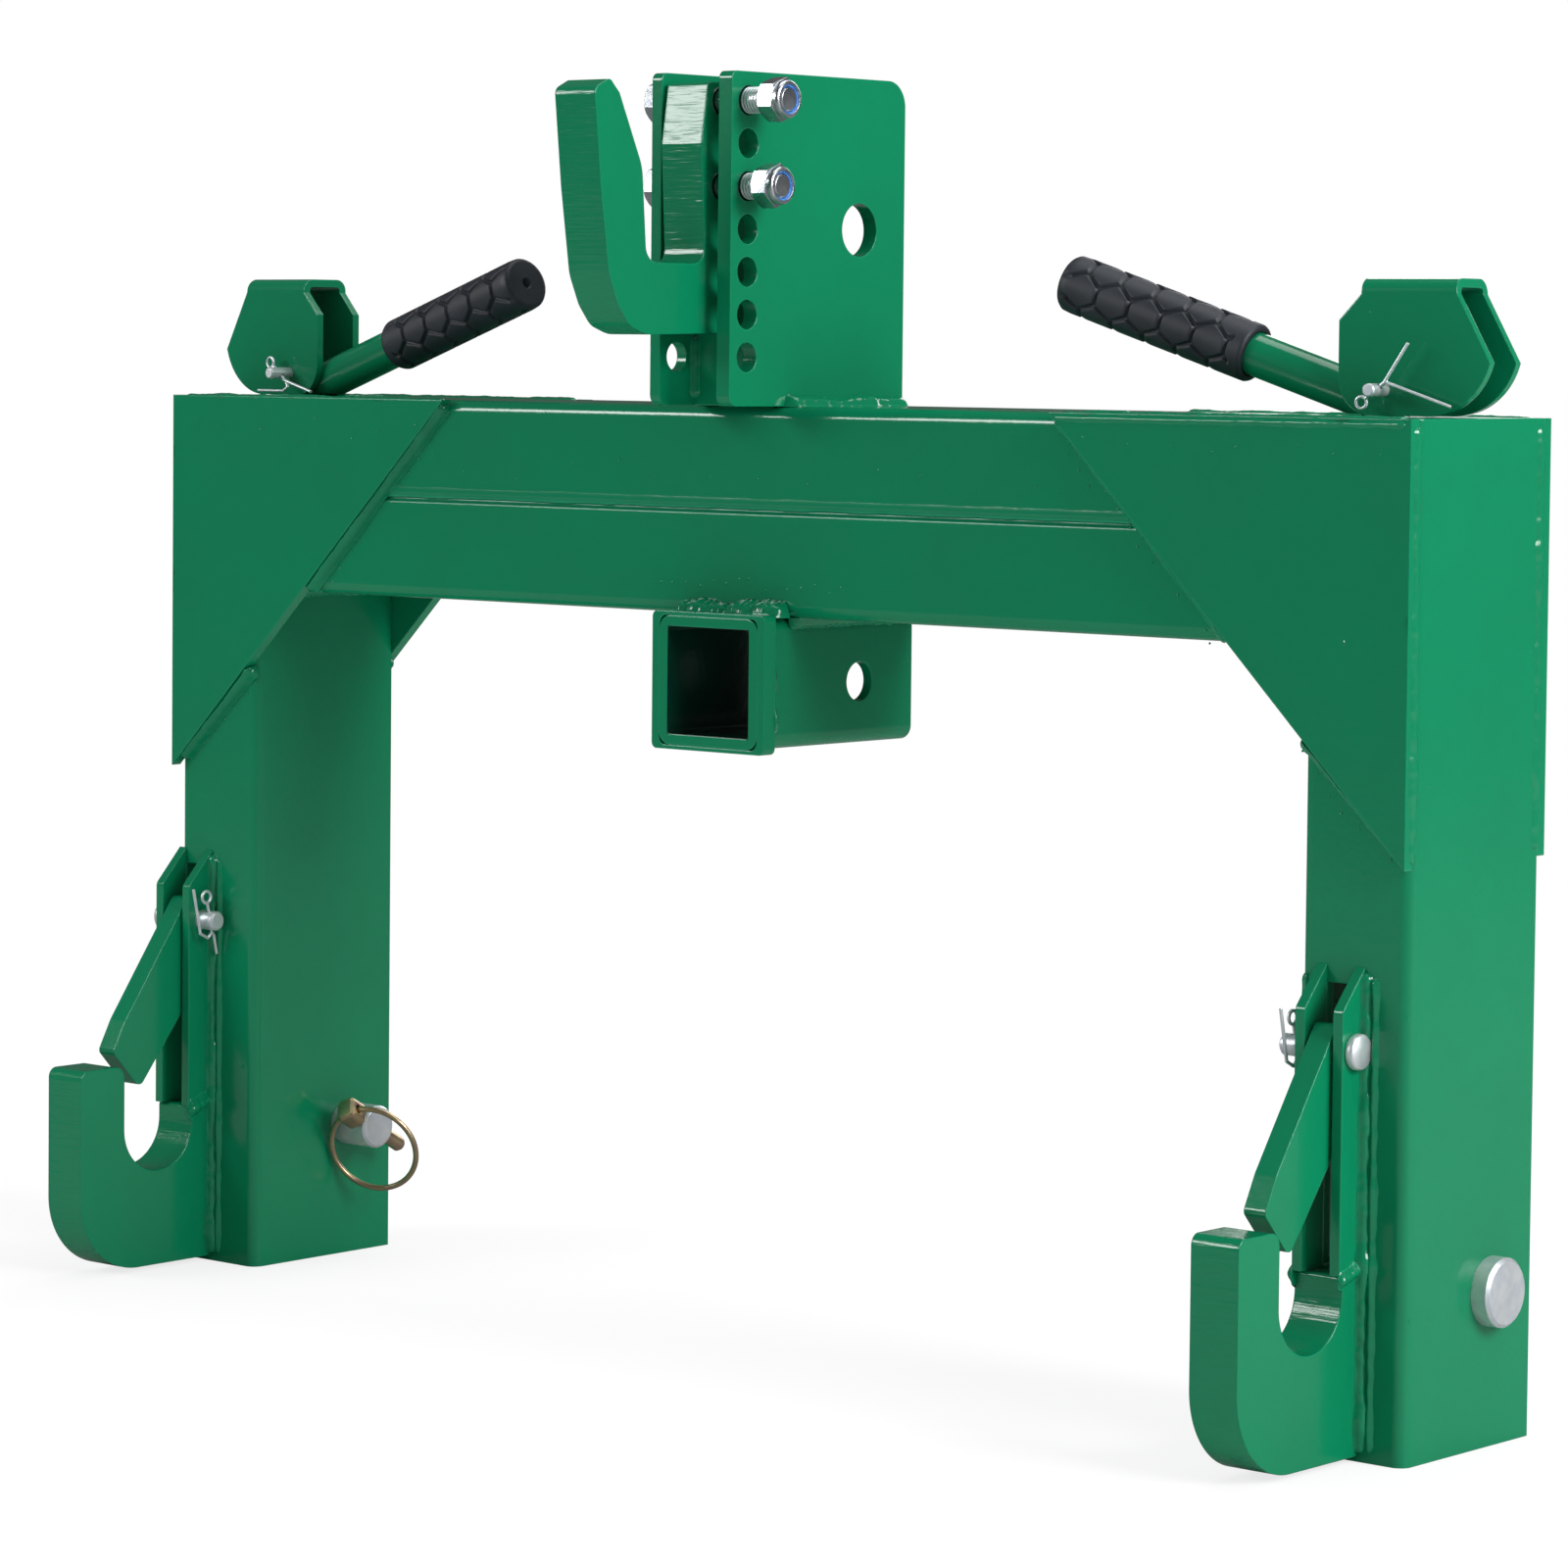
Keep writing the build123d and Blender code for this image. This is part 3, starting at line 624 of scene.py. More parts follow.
def turned(profile: Sequence[Pair], origin: Vector, direction: Vector, steps: int,
           cuts: Optional[Dict[int, int]] = None) -> bmesh.types.BMesh:
    """Spins a profile into a turned piece.

    Args:
        profile: distances along the axis and radii, in millimetres.
        origin: point on the axis where the distances start, in metres.
        direction: the axis.
        steps: steps around.
        cuts: how many times each numbered edge of the profile is divided first.

    Returns:
        The mesh.
    """
    mesh = bmesh.new()
    corners = [mesh.verts.new((radius * MM, 0.0, along * MM)) for along, radius in profile]
    edges = [mesh.edges.new(pair) for pair in zip(corners[:-1], corners[1:])]
    for index, count in (cuts or {}).items():
        bmesh.ops.subdivide_edges(mesh, edges=[edges[index]], cuts=count)
    bmesh.ops.spin(mesh, geom=list(mesh.verts) + list(mesh.edges), cent=(0, 0, 0), axis=(0, 0, 1),
                   angle=math.tau, steps=steps, use_merge=True)
    bmesh.ops.remove_doubles(mesh, verts=mesh.verts, dist=1e-6)
    bmesh.ops.recalc_face_normals(mesh, faces=mesh.faces)
    bmesh.ops.transform(mesh, matrix=aimed(origin, direction), verts=mesh.verts)
    return mesh


@dataclass
class WeldBead:
    """One straight bead under the coat: a fillet in a corner, or a flat bead over a joint.

    Each lump is its place along the bead, its extra size and its reach. Lengths are in millimetres.
    """

    start: Vector
    end: Vector
    leg_a: Vector
    leg_b: Vector
    flat: bool = False
    bulge: float = 0.10
    pitch: float = 5.0
    ripple: float = 0.02
    wobble: float = 0.14
    around: int = 20
    step: float = 1.4
    end_length: float = 3.5
    lumps: Tuple[Point, ...] = ()

    def section(self, share: float, swell: float) -> Vector:
        """A point of the cross section.

        Args:
            share: how far round the section the point is, 0 to 1.
            swell: factor on the bead's size.

        Returns:
            The offset from the bead's line, in metres.
        """
        front = share / BEAD_OPEN
        back = (share - BEAD_OPEN) / (1 - BEAD_OPEN)
        up = self.leg_b.normalized()
        if self.flat and front <= 1:
            across = 1 - 2 * front
            crown = self.leg_b * (0.5 + 0.5 * math.cos(math.pi * across))
            return (self.leg_a * across + crown) * swell - up * BEAD_SUNK
        if self.flat:
            return self.leg_a * (2 * back - 1) * swell - up * 3 * BEAD_SUNK
        inwards = (self.leg_a.normalized() + up) * BEAD_SUNK
        if front <= 1:
            belly = (self.leg_a + self.leg_b) * self.bulge * math.sin(math.pi * front) ** 2
            return (self.leg_a * (1 - front) + self.leg_b * front + belly) * swell - inwards
        side = self.leg_b * (1 - 2 * back) if back < 0.5 else self.leg_a * (2 * back - 1)
        return side * swell - inwards

    def swell(self, along: float, share: float, length: float) -> float:
        """Size of the bead at a point, with its faint ripples, its lumps and its rounded ends.

        Args:
            along: distance from the start, in millimetres.
            share: how far round the section the point is.
            length: length of the bead, in millimetres.

        Returns:
            The factor on the cross section.
        """
        across = min(share / BEAD_OPEN, 1.0) * 2 - 1
        ripple = self.ripple * math.sin(math.tau * (along / self.pitch + 0.35 * across * across))
        slow = noise.noise(self.start * 300 + Vector((along * 0.05, 0, 0)))
        quick = noise.noise(self.start * 500 + Vector((along * 0.17, share * 1.7, 7.0)))
        lump = sum(extra * math.exp(-((along - place) / reach) ** 2) for place, extra, reach in self.lumps)
        near = min(along, length - along)
        cap = math.sqrt(max(0.0, 1 - (1 - min(near / self.end_length, 1.0)) ** 2))
        return max(0.02, (1.0 + ripple + self.wobble * (slow + 0.6 * quick) + lump) * cap)

    def add_to(self, target: bmesh.types.BMesh) -> None:
        """Adds the bead to a mesh.

        Args:
            target: the mesh that collects the beads.
        """
        mesh = bmesh.new()
        bmesh.ops.create_cone(mesh, cap_ends=True, segments=self.around, radius1=1, radius2=1, depth=1)
        span = self.end - self.start
        length = span.length / MM
        long_edges = [e for e in mesh.edges if abs(e.verts[0].co.z - e.verts[1].co.z) > 0.5]
        bmesh.ops.subdivide_edges(mesh, edges=long_edges, cuts=max(8, int(length / self.step)))
        for vert in mesh.verts:
            level = vert.co.z + 0.5
            share = (math.atan2(vert.co.y, vert.co.x) / math.tau) % 1.0
            factor = self.swell(level * length, share, length)
            vert.co = self.start + span * level + self.section(share, factor)
        bmesh.ops.recalc_face_normals(mesh, faces=mesh.faces)
        data = bpy.data.meshes.new("bead")
        mesh.to_mesh(data)
        mesh.free()
        target.from_mesh(data)
        bpy.data.meshes.remove(data)


def fillet(line: Line, side_a: Point, side_b: Point, size: float, size_b: Optional[float] = None,
           **extra: object) -> WeldBead:
    """A fillet bead along a corner.

    Args:
        line: the corner.
        side_a: direction along the first face, away from the corner.
        side_b: direction along the second face, away from the corner.
        size: leg length on the first face, in millimetres.
        size_b: leg length on the second face, or None for the same.
        extra: other fields of the bead.

    Returns:
        The bead.
    """
    other = size if size_b is None else size_b
    return WeldBead(*line, Vector(side_a) * size * MM, Vector(side_b) * other * MM, **extra)


def flat_bead(line: Line, across: Point, up: Point, width: float, height: float,
              **extra: object) -> WeldBead:
    """A bead that lies over a joint between two flush faces.

    Args:
        line: the joint.
        across: direction across the joint.
        up: direction away from the faces.
        width: width in millimetres.
        height: height in millimetres.
        extra: other fields of the bead.

    Returns:
        The bead.
    """
    half = width / 2
    return WeldBead(*line, Vector(across) * half * MM, Vector(up) * height * MM, flat=True, **extra)


def lay_beads(name: str, beads: Sequence[WeldBead], finishes: Finishes) -> None:
    """Joins beads into one piece on the frame.

    Args:
        name: name of the piece.
        beads: the beads.
        finishes: the materials.
    """
    mesh = bmesh.new()
    for bead in beads:
        bead.add_to(mesh)
    finishes.piece(name, mesh, "green_coat_weld")


@dataclass
class Spatter:
    """Drops of weld metal that stuck to flat faces beside the beads and were coated over."""

    drops: List[Tuple[Vector, Vector, float]] = field(default_factory=list)

    def scatter(self, line: Line, away: Point, normal: Point, count: int, reach: float = 16.0) -> None:
        """Strews drops along a line on a face.

        Args:
            line: the line.
            away: direction in the face, away from the line.
            normal: direction away from the face.
            count: how many drops.
            reach: how far from the line they fly, in millimetres.
        """
        start, end = line
        for index in range(count):
            seed = start * 900 + Vector((index * 3.7, index * 1.3, 0.5))
            draws = [0.5 + 0.5 * noise.noise(seed + Vector((0, 0, lift))) for lift in (0.0, 31.7, 67.3)]
            share = (index + draws[0]) / count
            far = reach * (0.18 + 0.82 * draws[1] ** 2)
            size = 0.35 + 0.5 * draws[2]
            place = start.lerp(end, share) + Vector(away) * far * MM
            self.drops.append((place, Vector(normal), size))

    def build(self, name: str, finishes: Finishes) -> None:
        """Makes all drops one piece.

        Args:
            name: name of the piece.
            finishes: the materials.
        """
        mesh = bmesh.new()
        for place, normal, size in self.drops:
            drop = bmesh.ops.create_uvsphere(mesh, u_segments=10, v_segments=6, radius=size * MM)["verts"]
            bmesh.ops.scale(mesh, vec=(1, 1, 0.7), verts=drop)
            bmesh.ops.transform(mesh, matrix=aimed(place, normal), verts=drop)
        finishes.piece(name, mesh, "green_coat_weld")


@dataclass
class WeldedFrame:
    """Beam, legs, gussets and their welds. Sizes in millimetres."""

    seam: float = 403.4
    depth: float = 98.0
    gusset: float = 6.0
    gusset_in: float = 190.8
    gusset_low: float = 259.4
    beads: List[WeldBead] = field(default_factory=list)
    spatter: Spatter = field(default_factory=Spatter)

    def gusset_beads(self, side: Side, rear: bool) -> None:
        """Welds one gusset to the beam and to a leg.

        Args:
            side: the leg.
            rear: whether it is the gusset on the rear face.
        """
        s = side.value
        face, rise, proud, y = (self.depth, 1.0, 4.1, self.depth - 1.7) if rear else (0.0, -1.0, 5.2, -0.4)
        slant = (-0.7071 * s, 0, -0.7071)
        on_beam = run((s * (self.gusset_in + 2), s * (self.gusset_in + 99)), face,
                      (BEAM_TOP - 2, BEAM_TOP - 99))
        on_leg = run((s * (LEG_IN + 1), s * (LEG_OUT - 4)), face,
                     (BEAM_TOP - (LEG_IN + 1 - self.gusset_in), self.gusset_low + 4))
        on_side = run(s * (LEG_OUT - 0.7), y, (self.gusset_low + 2, BEAM_TOP - 3))
        on_top = run((s * (self.gusset_in + 4), s * (LEG_OUT - 5)), y, BEAM_TOP - 0.9)
        self.beads += [
            fillet(on_beam, slant, (0, rise, 0), 4.2, proud, lumps=((5.0, 0.22, 5.0), (22.0, 0.12, 4.0))),
            fillet(on_leg, slant, (0, rise, 0), 4.2, proud, lumps=((3.0, 0.18, 4.0),)),
            flat_bead(on_side, (0, -rise * s, 0), (s, 0, 0), 10.0, 2.1, wobble=0.3),
            flat_bead(on_top, (0, rise * s, 0), UP, 10.5, 2.0, wobble=0.3),
        ]
        if not rear:
            self.spatter.scatter(on_beam, slant, FORWARD, 14)
            self.spatter.scatter(on_leg, slant, FORWARD, 7)
            self.top_edge(side)

    def top_edge(self, side: Side) -> None:
        """Strews drops below a front gusset's top edge and, on the right one, lays the bead along it.

        Args:
            side: the leg.
        """
        s = side.value
        edge = run((s * (self.gusset_in + 10), s * (LEG_OUT - 8)), -self.gusset, BEAM_TOP - 3)
        self.spatter.scatter(edge, DOWN, FORWARD, 8, reach=30.0)
        if side is Side.RIGHT:
            edge = run((self.gusset_in + 3, LEG_OUT - 3), -self.gusset, BEAM_TOP - 2.6)
            self.beads.append(flat_bead(edge, UP, FORWARD, 4.6, 1.1, wobble=0.4, step=1.0))

    def leg_beads(self, side: Side) -> None:
        """Welds one leg to the beam.

        Args:
            side: the leg.
        """
        s = side.value
        above = run(s * LEG_IN, (7, self.depth - 7), BEAM_TOP - 0.4)
        below = run(s * LEG_IN, (6, self.depth - 6), BEAM_BOTTOM)
        self.beads += [flat_bead(above, (s, 0, 0), UP, 9.0, 1.6), fillet(below, (-s, 0, 0), DOWN, 5.0)]

    def seam_beads(self) -> None:
        """Fills the seam between the beam's halves and lays the low ridge above it, front and rear."""
        for face, rise in ((0.0, -1.0), (self.depth, 1.0)):
            across, up = (0, 0, rise), (0, rise, 0)
            ridge = run((-240, 240), face, self.seam + 4.2)
            filling = run((-236, 236), face - rise * 1.35, self.seam)
            self.beads += [flat_bead(ridge, across, up, 7.0, 0.32, wobble=0.16, ripple=0.0, step=3.0),
                           flat_bead(filling, across, up, 2.6, 0.45, wobble=0.2, ripple=0.0, step=3.0)]

    def build(self, finishes: Finishes) -> None:
        """Dresses the frame and lays its beads.

        Args:
            finishes: the materials.
        """
        finishes.dress("green_coat_folded", "upper_beam_channel", "lower_beam_channel", "left_leg_channel",
                       "right_leg_channel")
        finishes.dress("green_coat_plate", "left_leg_cap", "right_leg_cap", "front_left_gusset",
                       "front_right_gusset", "rear_left_gusset", "rear_right_gusset")
        for side in Side:
            self.gusset_beads(side, rear=False)
            self.gusset_beads(side, rear=True)
            self.leg_beads(side)
        self.seam_beads()
        lay_beads("frame_welds", self.beads, finishes)
        self.spatter.scatter(run((-230, 230), 0, self.seam + 6), UP, FORWARD, 14, reach=30.0)
        self.spatter.scatter(run((-60, 70), 0, BEAM_BOTTOM + 8.6), UP, FORWARD, 16)
        self.spatter.build("weld_spatter", finishes)


@dataclass
class Mast:
    """Mast plates, top hook and its bolts. Sizes in millimetres."""

    rear: float = 91.0
    outer: Pair = (-24.0, 26.0)
    inner: Pair = (-18.0, 18.0)
    spacer_front: float = -11.0
    spacer_top: float = 489.5
    bolt_y: float = -24.0
    bolt_z: Pair = (596.4, 556.4)
    nut_face: Pair = (39.0, 35.6)
    thread_root: float = 5.95
    thread_crest: float = 6.32
    thread_pitch: float = 1.75

    def weld(self, finishes: Finishes) -> None:
        """Lays the beads at the mast's foot and along the spacer.

        Args:
            finishes: the materials.
        """
        beads = []
        lumps = ((2.0, 0.25, 6.0), (30.0, 0.15, 7.0), (62.0, 0.2, 8.0))
        for x, side in zip(self.outer, (-1, 1)):
            foot = run(x, (3, self.rear), BEAM_TOP)
            beads.append(fillet(foot, (side, 0, 0), UP, 6.5, 5.0, wobble=0.3, bulge=0.16, lumps=lumps))
        for x, side in zip(self.inner, (1, -1)):
            foot = run(x, (4, self.rear - 4), BEAM_TOP)
            spacer = run(x, self.spacer_front, (BEAM_TOP + 3, self.spacer_top - 3))
            beads += [fillet(foot, (side, 0, 0), UP, 4.5), fillet(spacer, (side, 0, 0), FORWARD, 3.5)]
        lay_beads("mast_welds", beads, finishes)

    def threads(self, finishes: Finishes) -> None:
        """Cuts the threads that show between the mast plate and the nuts.

        Args:
            finishes: the materials.
        """
        root, crest = self.thread_root, self.thread_crest
        for index, (z, face) in enumerate(zip(self.bolt_z, self.nut_face)):
            profile = []
            x = self.outer[1] + 0.2
            while x < face + 0.4:
                profile += [(x, root), (x + 0.55, crest), (x + 0.8, crest), (x + 1.35, root)]
                x += self.thread_pitch
            mesh = turned(profile, at(0, self.bolt_y, z), Vector((1, 0, 0)), 28)
            finishes.piece("hook_bolt_thread_%d" % (index + 1), mesh, "turned_zinc", smooth=False)

    def build(self, finishes: Finishes) -> None:
        """Dresses the mast.

        Args:
            finishes: the materials.
        """
        finishes.dress("green_coat_plate", "left_mast_plate", "right_mast_plate", "mast_spacer")
        finishes.dress("green_coat_flame_cut", "top_hook")
        finishes.dress("bright_zinc", "top_hook_bolts", "top_hook_nuts")
        finishes.dress("nylon_blue", "nut_inserts")
        self.weld(finishes)
        self.threads(finishes)


@dataclass
class Receiver:
    """Receiver tube and collar under the beam. Sizes in millimetres."""

    half: float = 31.0
    bottom: float = 291.4
    collar_rear: float = -12.0

    def build(self, finishes: Finishes) -> None:
        """Dresses the receiver and welds it.

        Args:
            finishes: the materials.
        """
        finishes.dress("green_coat_tube", "receiver_tube")
        finishes.dress("green_coat_plate", "receiver_collar")
        beads = []
        back = self.collar_rear
        for s in (-1, 1):
            side = run(s * self.half, (2, 92), BEAM_BOTTOM)
            edge = run(s * self.half, back, (self.bottom + 6, BEAM_BOTTOM - 5))
            beads += [fillet(side, (s, 0, 0), DOWN, 5.5),
                      fillet(edge, (s, 0, 0), BACKWARD, 4.0, 5.0, wobble=0.3,
                             lumps=((8.0, 0.3, 4.0), (30.0, 0.2, 5.0)))]
        rough = {"wobble": 0.45, "bulge": 0.2, "ripple": 0.06, "pitch": 3.4, "step": 0.9}
        lumps = ((14.0, 0.2, 5.0), (40.0, 0.3, 6.0), (58.0, 0.35, 5.0))
        front = run((-33, 34), -0.5, BEAM_BOTTOM + 0.4)
        behind = run((-32, 33), back, BEAM_BOTTOM)
        under = run((-26, 26), back, self.bottom)
        beads += [fillet(front, FORWARD, UP, 8.5, 6.0, lumps=lumps, **rough),
                  fillet(behind, BACKWARD, UP, 4.0, 2.4, **rough),
                  fillet(under, DOWN, BACKWARD, 2.6, 4.0)]
        lay_beads("receiver_welds", beads, finishes)


@dataclass
class LowerHook:
    """One lower hook with its cheeks, latch and latch pin. Sizes in millimetres."""

    side: Side
    centre_x: float
    half_plate: float = 12.5
    shoulder: float = 83.0
    cheek_top: float = 214.0
    pivot: Pair = (-7.2, 180.0)
    least_room: float = 3.0
    wide_room: float = 8.0

    def corner_beads(self, s: int) -> List[WeldBead]:
        """Beads on one side of the hook's plate.

        Args:
            s: sign of X on that side.

        Returns:
            The beads, or none where the plate is flush with the leg's side.
        """
        x = self.centre_x + s * self.half_plate
        room = LEG_OUT - abs(x) if s == self.side.value else abs(x) - LEG_IN
        if room < self.least_room:
            return []
        out = (s, 0, 0)
        lumps = ((12.0, 0.2, 8.0), (self.shoulder - 1.0, 0.35, 6.0), (self.shoulder + 22.0, 0.1, 12.0))
        corner = run(x, 0, (3.5, self.cheek_top))
        size = min(4.6, room * 0.6)
        beads = [fillet(corner, out, FORWARD, size, 3.8, bulge=0.14, wobble=0.26, lumps=lumps)]
        if room > self.wide_room:
            beside = run(x + s * 5.4, 0.1, (4.0, self.cheek_top - 2))
            beads.append(flat_bead(beside, out, FORWARD, 5.8, 1.9, wobble=0.42, lumps=lumps))
        shelf = run(x, (-0.5, -17.5), (self.shoulder + 2.2, self.shoulder - 2.4))
        beads.append(flat_bead(shelf, (0, 0, -s), out, 11.0, 3.0, wobble=0.35, ripple=0.05, pitch=3.6,
                               step=0.9))
        return beads

    def build(self, finishes: Finishes) -> None:
        """Dresses the hook and welds it to the leg.

        Args:
            finishes: the materials.
        """
        label = self.side.label
        finishes.dress("green_coat_flame_cut", label + "_lower_hook")
        finishes.dress("green_coat_plate", label + "_inner_cheek", label + "_outer_cheek", label + "_latch")
        finishes.dress("turned_zinc", label + "_latch_pin", label + "_latch_clip")
        lay_beads(label + "_hook_welds", self.corner_beads(-1) + self.corner_beads(1), finishes)
        self.pin_head(finishes)

    def pin_head(self, finishes: Finishes) -> None:
        """Turns the broad flat head of the latch pin over the head of the plain pin.

        Args:
            finishes: the materials.
        """
        s = self.side.value
        outer = self.centre_x + s * self.half_plate
        profile = [(0.0, 0.0), (0.0, 7.6), (0.5, 7.9), (3.2, 7.9), (4.1, 7.1), (4.15, 0.0)]
        mesh = turned(profile, at(outer + s * 0.05, *self.pivot), Vector((s, 0, 0)), 48)
        finishes.piece(self.side.label + "_latch_pin_head", mesh, "turned_zinc")


@dataclass
class LinkPinSet:
    """One lower link pin with its linch pin and ring."""

    side: Side

    def build(self, finishes: Finishes) -> None:
        """Dresses the pins.

        Args:
            finishes: the materials.
        """
        label = self.side.label
        finishes.dress("turned_zinc", label + "_link_pin")
        finishes.dress("yellow_zinc", label + "_linch_pin", label + "_linch_ring")


@dataclass
class LeverSet:
    """One lever with its grip, and the rod and spring under it. Sizes in millimetres and degrees."""

    side: Side
    rod: Point = (343.0, 50.0, 465.2)
    turn: float = 4.96
    slope: float = 18.0
    grip_start: float = -73.4
    grip_end: float = -171.0
    axis_z: float = 15.3
    radius: float = 13.5
    tube: float = 10.1
    groove: float = 1.65
    wall: float = 0.85
    cell: float = 18.0
    columns: int = 6
    plain_foot: float = 5.5
    plain_tip: float = 4.5
    spring_span: Pair = (331.1, 446.3)
    spring_stop: float = 447.4
    spring_keep: float = 0.62
    coil: float = 6.9
    wire: float = 1.05
    turns: int = 9
    steps_per_turn: int = 28

    def axis(self) -> Tuple[Vector, Vector]:
        """Start and direction of the grip, on its own side.

        Returns:
            A point in metres and a direction.
        """
        s = self.side.value
        yaw = math.radians(self.turn)
        lean = math.radians(self.slope)
        flat = Vector((math.cos(yaw), math.sin(yaw), 0))
        start = Vector(self.rod) + flat * self.grip_start + Vector((0, 0, self.axis_z))
        run = -flat * math.cos(lean) + Vector((0, 0, math.sin(lean)))
        return at(s * start.x, start.y, start.z), Vector((s * run.x, run.y, run.z))

    def groove_depth(self, along: float, angle: float, length: float) -> float:
        """Depth of the honeycomb of grooves at a point of the grip.

        Args:
            along: distance from the grip's start, in millimetres.
            angle: angle round the grip.
            length: length of the grip.

        Returns:
            The depth in millimetres.
        """
        column_gap = math.tau * self.radius / self.columns
        column = angle / math.tau * self.columns
        first = math.floor(column)
        gaps = []
        for near in (first - 1, first, first + 1, first + 2):
            shift = 0.5 * (near % 2)
            row = along / self.cell - shift
            for step in (math.floor(row), math.floor(row) + 1):
                gaps.append(math.hypot((row - step) * self.cell, (column - near) * column_gap))
        gaps.sort()
        from_wall = (gaps[1] - gaps[0]) * 0.5
        fade = min(1.0, max(0.0, min(along - self.plain_foot, length - self.plain_tip - along)))
        return self.groove * fade * min(1.0, max(0.0, 1.5 - from_wall / self.wall))

    def grip_profile(self, length: float) -> List[Pair]:
        """Profile of the grip, with its rounded end and the small hole in it.

        Args:
            length: length of the grip.

        Returns:
            Distances along the grip and radii.
        """
        r = self.radius
        foot = [(6.0, self.tube), (0.0, self.tube), (0.0, r - 1.6), (0.5, r - 0.5), (1.6, r)]
        tip = [(5.0, r), (1.5, r - 0.25), (0.4, r - 1.0), (0.0, r - 2.2), (0.0, r - 2.5), (0.0, 3.1),
               (0.0, 2.7), (4.0, 2.4), (4.2, 0.0)]
        return foot + [(length - back, radius) for back, radius in tip]

    def mould_grip(self, finishes: Finishes) -> None:
        """Turns the grip, sinks its honeycomb and puts it on the handle tube.

        Args:
            finishes: the materials.
        """
        origin, direction = self.axis()
        length = abs(self.grip_end - self.grip_start) / math.cos(math.radians(self.slope))
        mesh = turned(self.grip_profile(length), Vector((0, 0, 0)), Vector((0, 0, 1)), 190, {4: 230})
        for vert in mesh.verts:
            flat = math.hypot(vert.co.x, vert.co.y)
            if flat / MM < self.radius - 0.2:
                continue
            depth = self.groove_depth(vert.co.z / MM, math.atan2(vert.co.y, vert.co.x), length)
            factor = (flat - depth * MM) / flat
            vert.co.x *= factor
            vert.co.y *= factor
        bmesh.ops.transform(mesh, matrix=aimed(origin, direction), verts=mesh.verts)
        label = self.side.label
        finishes.piece(label + "_moulded_grip", mesh, "grip_rubber_black", body=label + "_lever",
                       replaces=[label + "_grip"])

    def wind_spring(self, finishes: Finishes) -> None:
        """Winds the return spring, which keeps its length as the rod rises.

        Args:
            finishes: the materials.
        """
        low, high = self.spring_span
        steps = self.turns * self.steps_per_turn
        mesh = bmesh.new()
        ring = bmesh.ops.create_circle(mesh, segments=10, radius=self.wire * MM)["verts"]
        stand = Matrix.Translation(Vector((self.coil * MM, 0, 0))) @ Matrix.Rotation(math.pi / 2, 4, "X")
        bmesh.ops.transform(mesh, matrix=stand, verts=ring)
        bmesh.ops.spin(mesh, geom=ring + list(mesh.edges), cent=(0, 0, 0), axis=(0, 0, 1),
                       dvec=(0, 0, (high - low) * MM / steps), angle=math.tau * self.turns, steps=steps)
        bmesh.ops.holes_fill(mesh, edges=[edge for edge in mesh.edges if edge.is_boundary], sides=0)
        bmesh.ops.recalc_face_normals(mesh, faces=mesh.faces)
        bmesh.ops.translate(mesh, vec=at(self.side.value * self.rod[0], self.rod[1], low), verts=mesh.verts)
        label = self.side.label
        spring = finishes.piece(label + "_coil_spring", mesh, "spring_wire",
                                replaces=[label + "_return_spring"])
        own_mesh(spring)

    def build(self, finishes: Finishes) -> None:
        """Dresses the lever and moulds the grip.

        Args:
            finishes: the materials.
        """
        label = self.side.label
        finishes.dress("green_coat_plate", label + "_lever_bracket", label + "_handle_tube")
        finishes.dress("bright_zinc", label + "_rod_collar")
        finishes.dress("turned_zinc", label + "_lever_clip", label + "_lever_pin", label + "_pull_rod",
                       label + "_tail_pin")
        self.wind_spring(finishes)
        self.mould_grip(finishes)


@dataclass(frozen=True)
class Lamp:
    """A soft rectangular lamp: its place and size in metres, and its power in watts."""

    name: str
    place: Point
    size: Pair
    power: float

    def build(self, target: Vector) -> None:
        """Adds the lamp to the scene.

        Args:
            target: the point that it faces.
        """
        data = bpy.data.lights.new(self.name, "AREA")
        data.shape = "RECTANGLE"
        data.size, data.size_y = self.size
        data.energy = self.power
        lamp = bpy.data.objects.new(self.name, data)
        place = Vector(self.place)
        lamp.matrix_world = aimed(place, target - place, "-Z")
        bpy.context.scene.collection.objects.link(lamp)


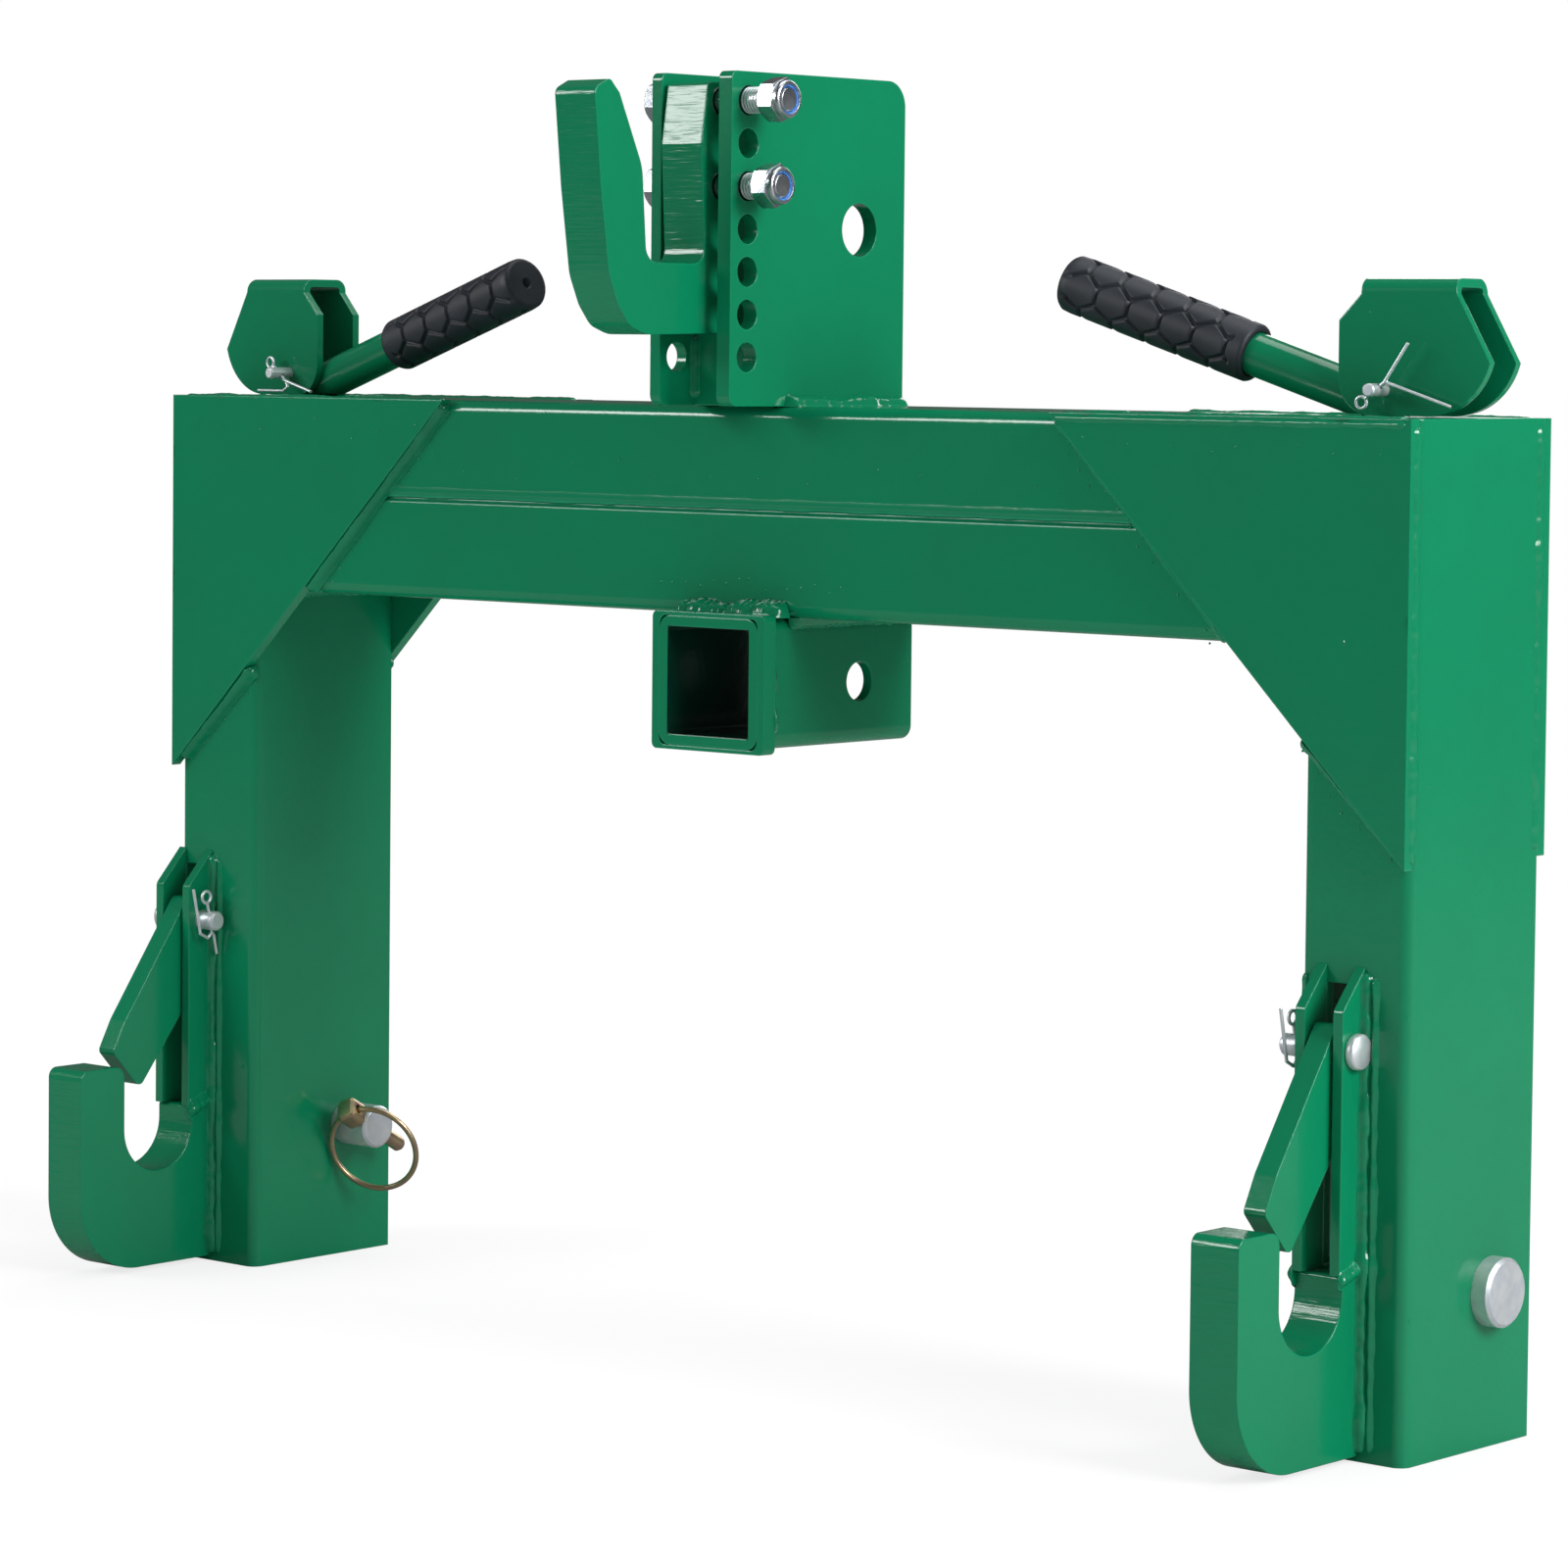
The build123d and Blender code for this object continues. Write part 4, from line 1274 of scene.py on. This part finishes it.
@dataclass
class Studio:
    """Camera, light and floor. Lengths in metres but for the lens and its sensor, angles in degrees."""

    place: Point = (1.6509, -1.8766, 0.4819)
    yaw: float = 40.757
    pitch: float = -2.847
    roll: float = 0.567
    focal_mm: float = 120.75
    sensor_mm: float = 36.0
    shift: float = -0.1125
    target: Point = (0.0, 0.0, 0.3)
    soft_light: float = 0.42
    glossy_light: float = 0.08
    floor_tone: float = 0.86
    # The floor's dark tone in reflections, a painted dark reflection.
    floor_reflection_shade: float = 0.2
    lamps: Tuple[Lamp, ...] = (
        Lamp("key_from_right", (2.9, 0.05, 1.6), (1.5, 1.5), 122.0),
        Lamp("low_from_front_left", (-1.55, -1.8, 1.26), (1.15, 0.6), 31.0),
        Lamp("soft_from_above", (0.3, 0.5, 2.7), (1.8, 1.8), 30.0),
        Lamp("soft_from_behind", (-0.9, 2.8, 1.5), (1.6, 1.6), 24.0),
    )

    def camera(self) -> None:
        """Sets the camera at the photograph's viewpoint."""
        yaw, pitch, roll = (math.radians(v) for v in (self.yaw, self.pitch, self.roll))
        ahead = Vector((-math.sin(yaw) * math.cos(pitch), math.cos(yaw) * math.cos(pitch), math.sin(pitch)))
        right = Vector((math.cos(yaw), math.sin(yaw), 0.0))
        up = right.cross(ahead)
        tilted_right = right * math.cos(roll) + up * math.sin(roll)
        tilted_up = up * math.cos(roll) - right * math.sin(roll)
        lens = bpy.data.cameras.new("photo_camera")
        lens.sensor_width = self.sensor_mm
        lens.lens = self.focal_mm
        lens.shift_y = self.shift
        lens.clip_start, lens.clip_end = 0.05, 60.0
        camera = bpy.data.objects.new("photo_camera", lens)
        turn = Matrix((tilted_right, tilted_up, -ahead)).transposed().to_4x4()
        camera.matrix_world = Matrix.Translation(Vector(self.place)) @ turn
        bpy.context.scene.collection.objects.link(camera)
        bpy.context.scene.camera = camera

    def backdrop(self) -> None:
        """Makes the world white to the camera, dim in reflections and a plain soft light elsewhere."""
        world = bpy.data.worlds.new("white_studio")
        bpy.context.scene.world = world
        world.use_nodes = True
        sheet = NodeSheet(world.node_tree)
        world.node_tree.nodes.clear()
        path = sheet.add("ShaderNodeLightPath")
        seen = sheet.maths("MAXIMUM", path.outputs["Is Camera Ray"], path.outputs["Is Transmission Ray"])
        change = self.glossy_light - self.soft_light
        soft = sheet.maths("MULTIPLY_ADD", path.outputs["Is Glossy Ray"], change, self.soft_light)
        strength = sheet.maths("MAXIMUM", seen, soft)
        light = sheet.add("ShaderNodeBackground")
        light.inputs["Color"].default_value = (1, 1, 1, 1)
        sheet.link(strength, light.inputs["Strength"])
        out = sheet.add("ShaderNodeOutputWorld")
        sheet.link(light.outputs[0], out.inputs[0])

    def floor(self) -> None:
        """Lays a pale floor that keeps the hitch's soft shadow, and that shows a dark tone in reflections as
        a painted dark reflection.
        """
        mesh = bmesh.new()
        bmesh.ops.create_grid(mesh, x_segments=1, y_segments=1, size=14.0)
        material = bpy.data.materials.new("pale_floor")
        material.use_nodes = True
        sheet = NodeSheet(material.node_tree)
        shader = material.node_tree.nodes["Principled BSDF"]
        shader.inputs["Roughness"].default_value = 0.7
        shader.inputs["Specular IOR Level"].default_value = 0.1
        glow = sheet.add("ShaderNodeEmission")
        glow.inputs["Strength"].default_value = 1.0
        path = sheet.add("ShaderNodeLightPath")
        # Painted reflection: to glossy rays the floor takes a dark tone instead of its own pale one.
        tones = (self.floor_tone,) * 3, (self.floor_reflection_shade,) * 3
        tone = sheet.blend(path.outputs["Is Glossy Ray"], *tones)
        sheet.link(tone, shader.inputs["Base Color"])
        mix = sheet.add("ShaderNodeMixShader")
        spot = sheet.add("ShaderNodeVectorMath", operation="LENGTH")
        sheet.link(sheet.object_point(), spot.inputs[0])
        far = sheet.maths("MAXIMUM", sheet.ramp(spot.outputs["Value"], low=0.55, high=1.5), 0.78)
        sheet.link(sheet.maths("MULTIPLY", path.outputs["Is Camera Ray"], far), mix.inputs[0])
        sheet.link(shader.outputs[0], mix.inputs[1])
        sheet.link(glow.outputs[0], mix.inputs[2])
        sheet.link(mix.outputs[0], material.node_tree.nodes["Material Output"].inputs[0])
        as_object("studio_floor", mesh, material)

    def build(self) -> None:
        """Sets up the whole studio."""
        self.camera()
        self.backdrop()
        self.floor()
        for lamp in self.lamps:
            lamp.build(Vector(self.target))
        bpy.context.scene.view_settings.view_transform = "Standard"
        LOG.info("studio ready")


def main() -> None:
    """Builds the looks of the hitch and its studio."""
    logging.basicConfig(level=logging.INFO, format="%(name)s: %(message)s")
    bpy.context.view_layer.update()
    finishes = Finishes()
    Studio().build()
    WeldedFrame().build(finishes)
    Mast().build(finishes)
    Receiver().build(finishes)
    LowerHook(Side.RIGHT, 351.7).build(finishes)
    LowerHook(Side.LEFT, -375.0).build(finishes)
    for side in Side:
        LinkPinSet(side).build(finishes)
        LeverSet(side).build(finishes)


if __name__ == "__main__":
    main()
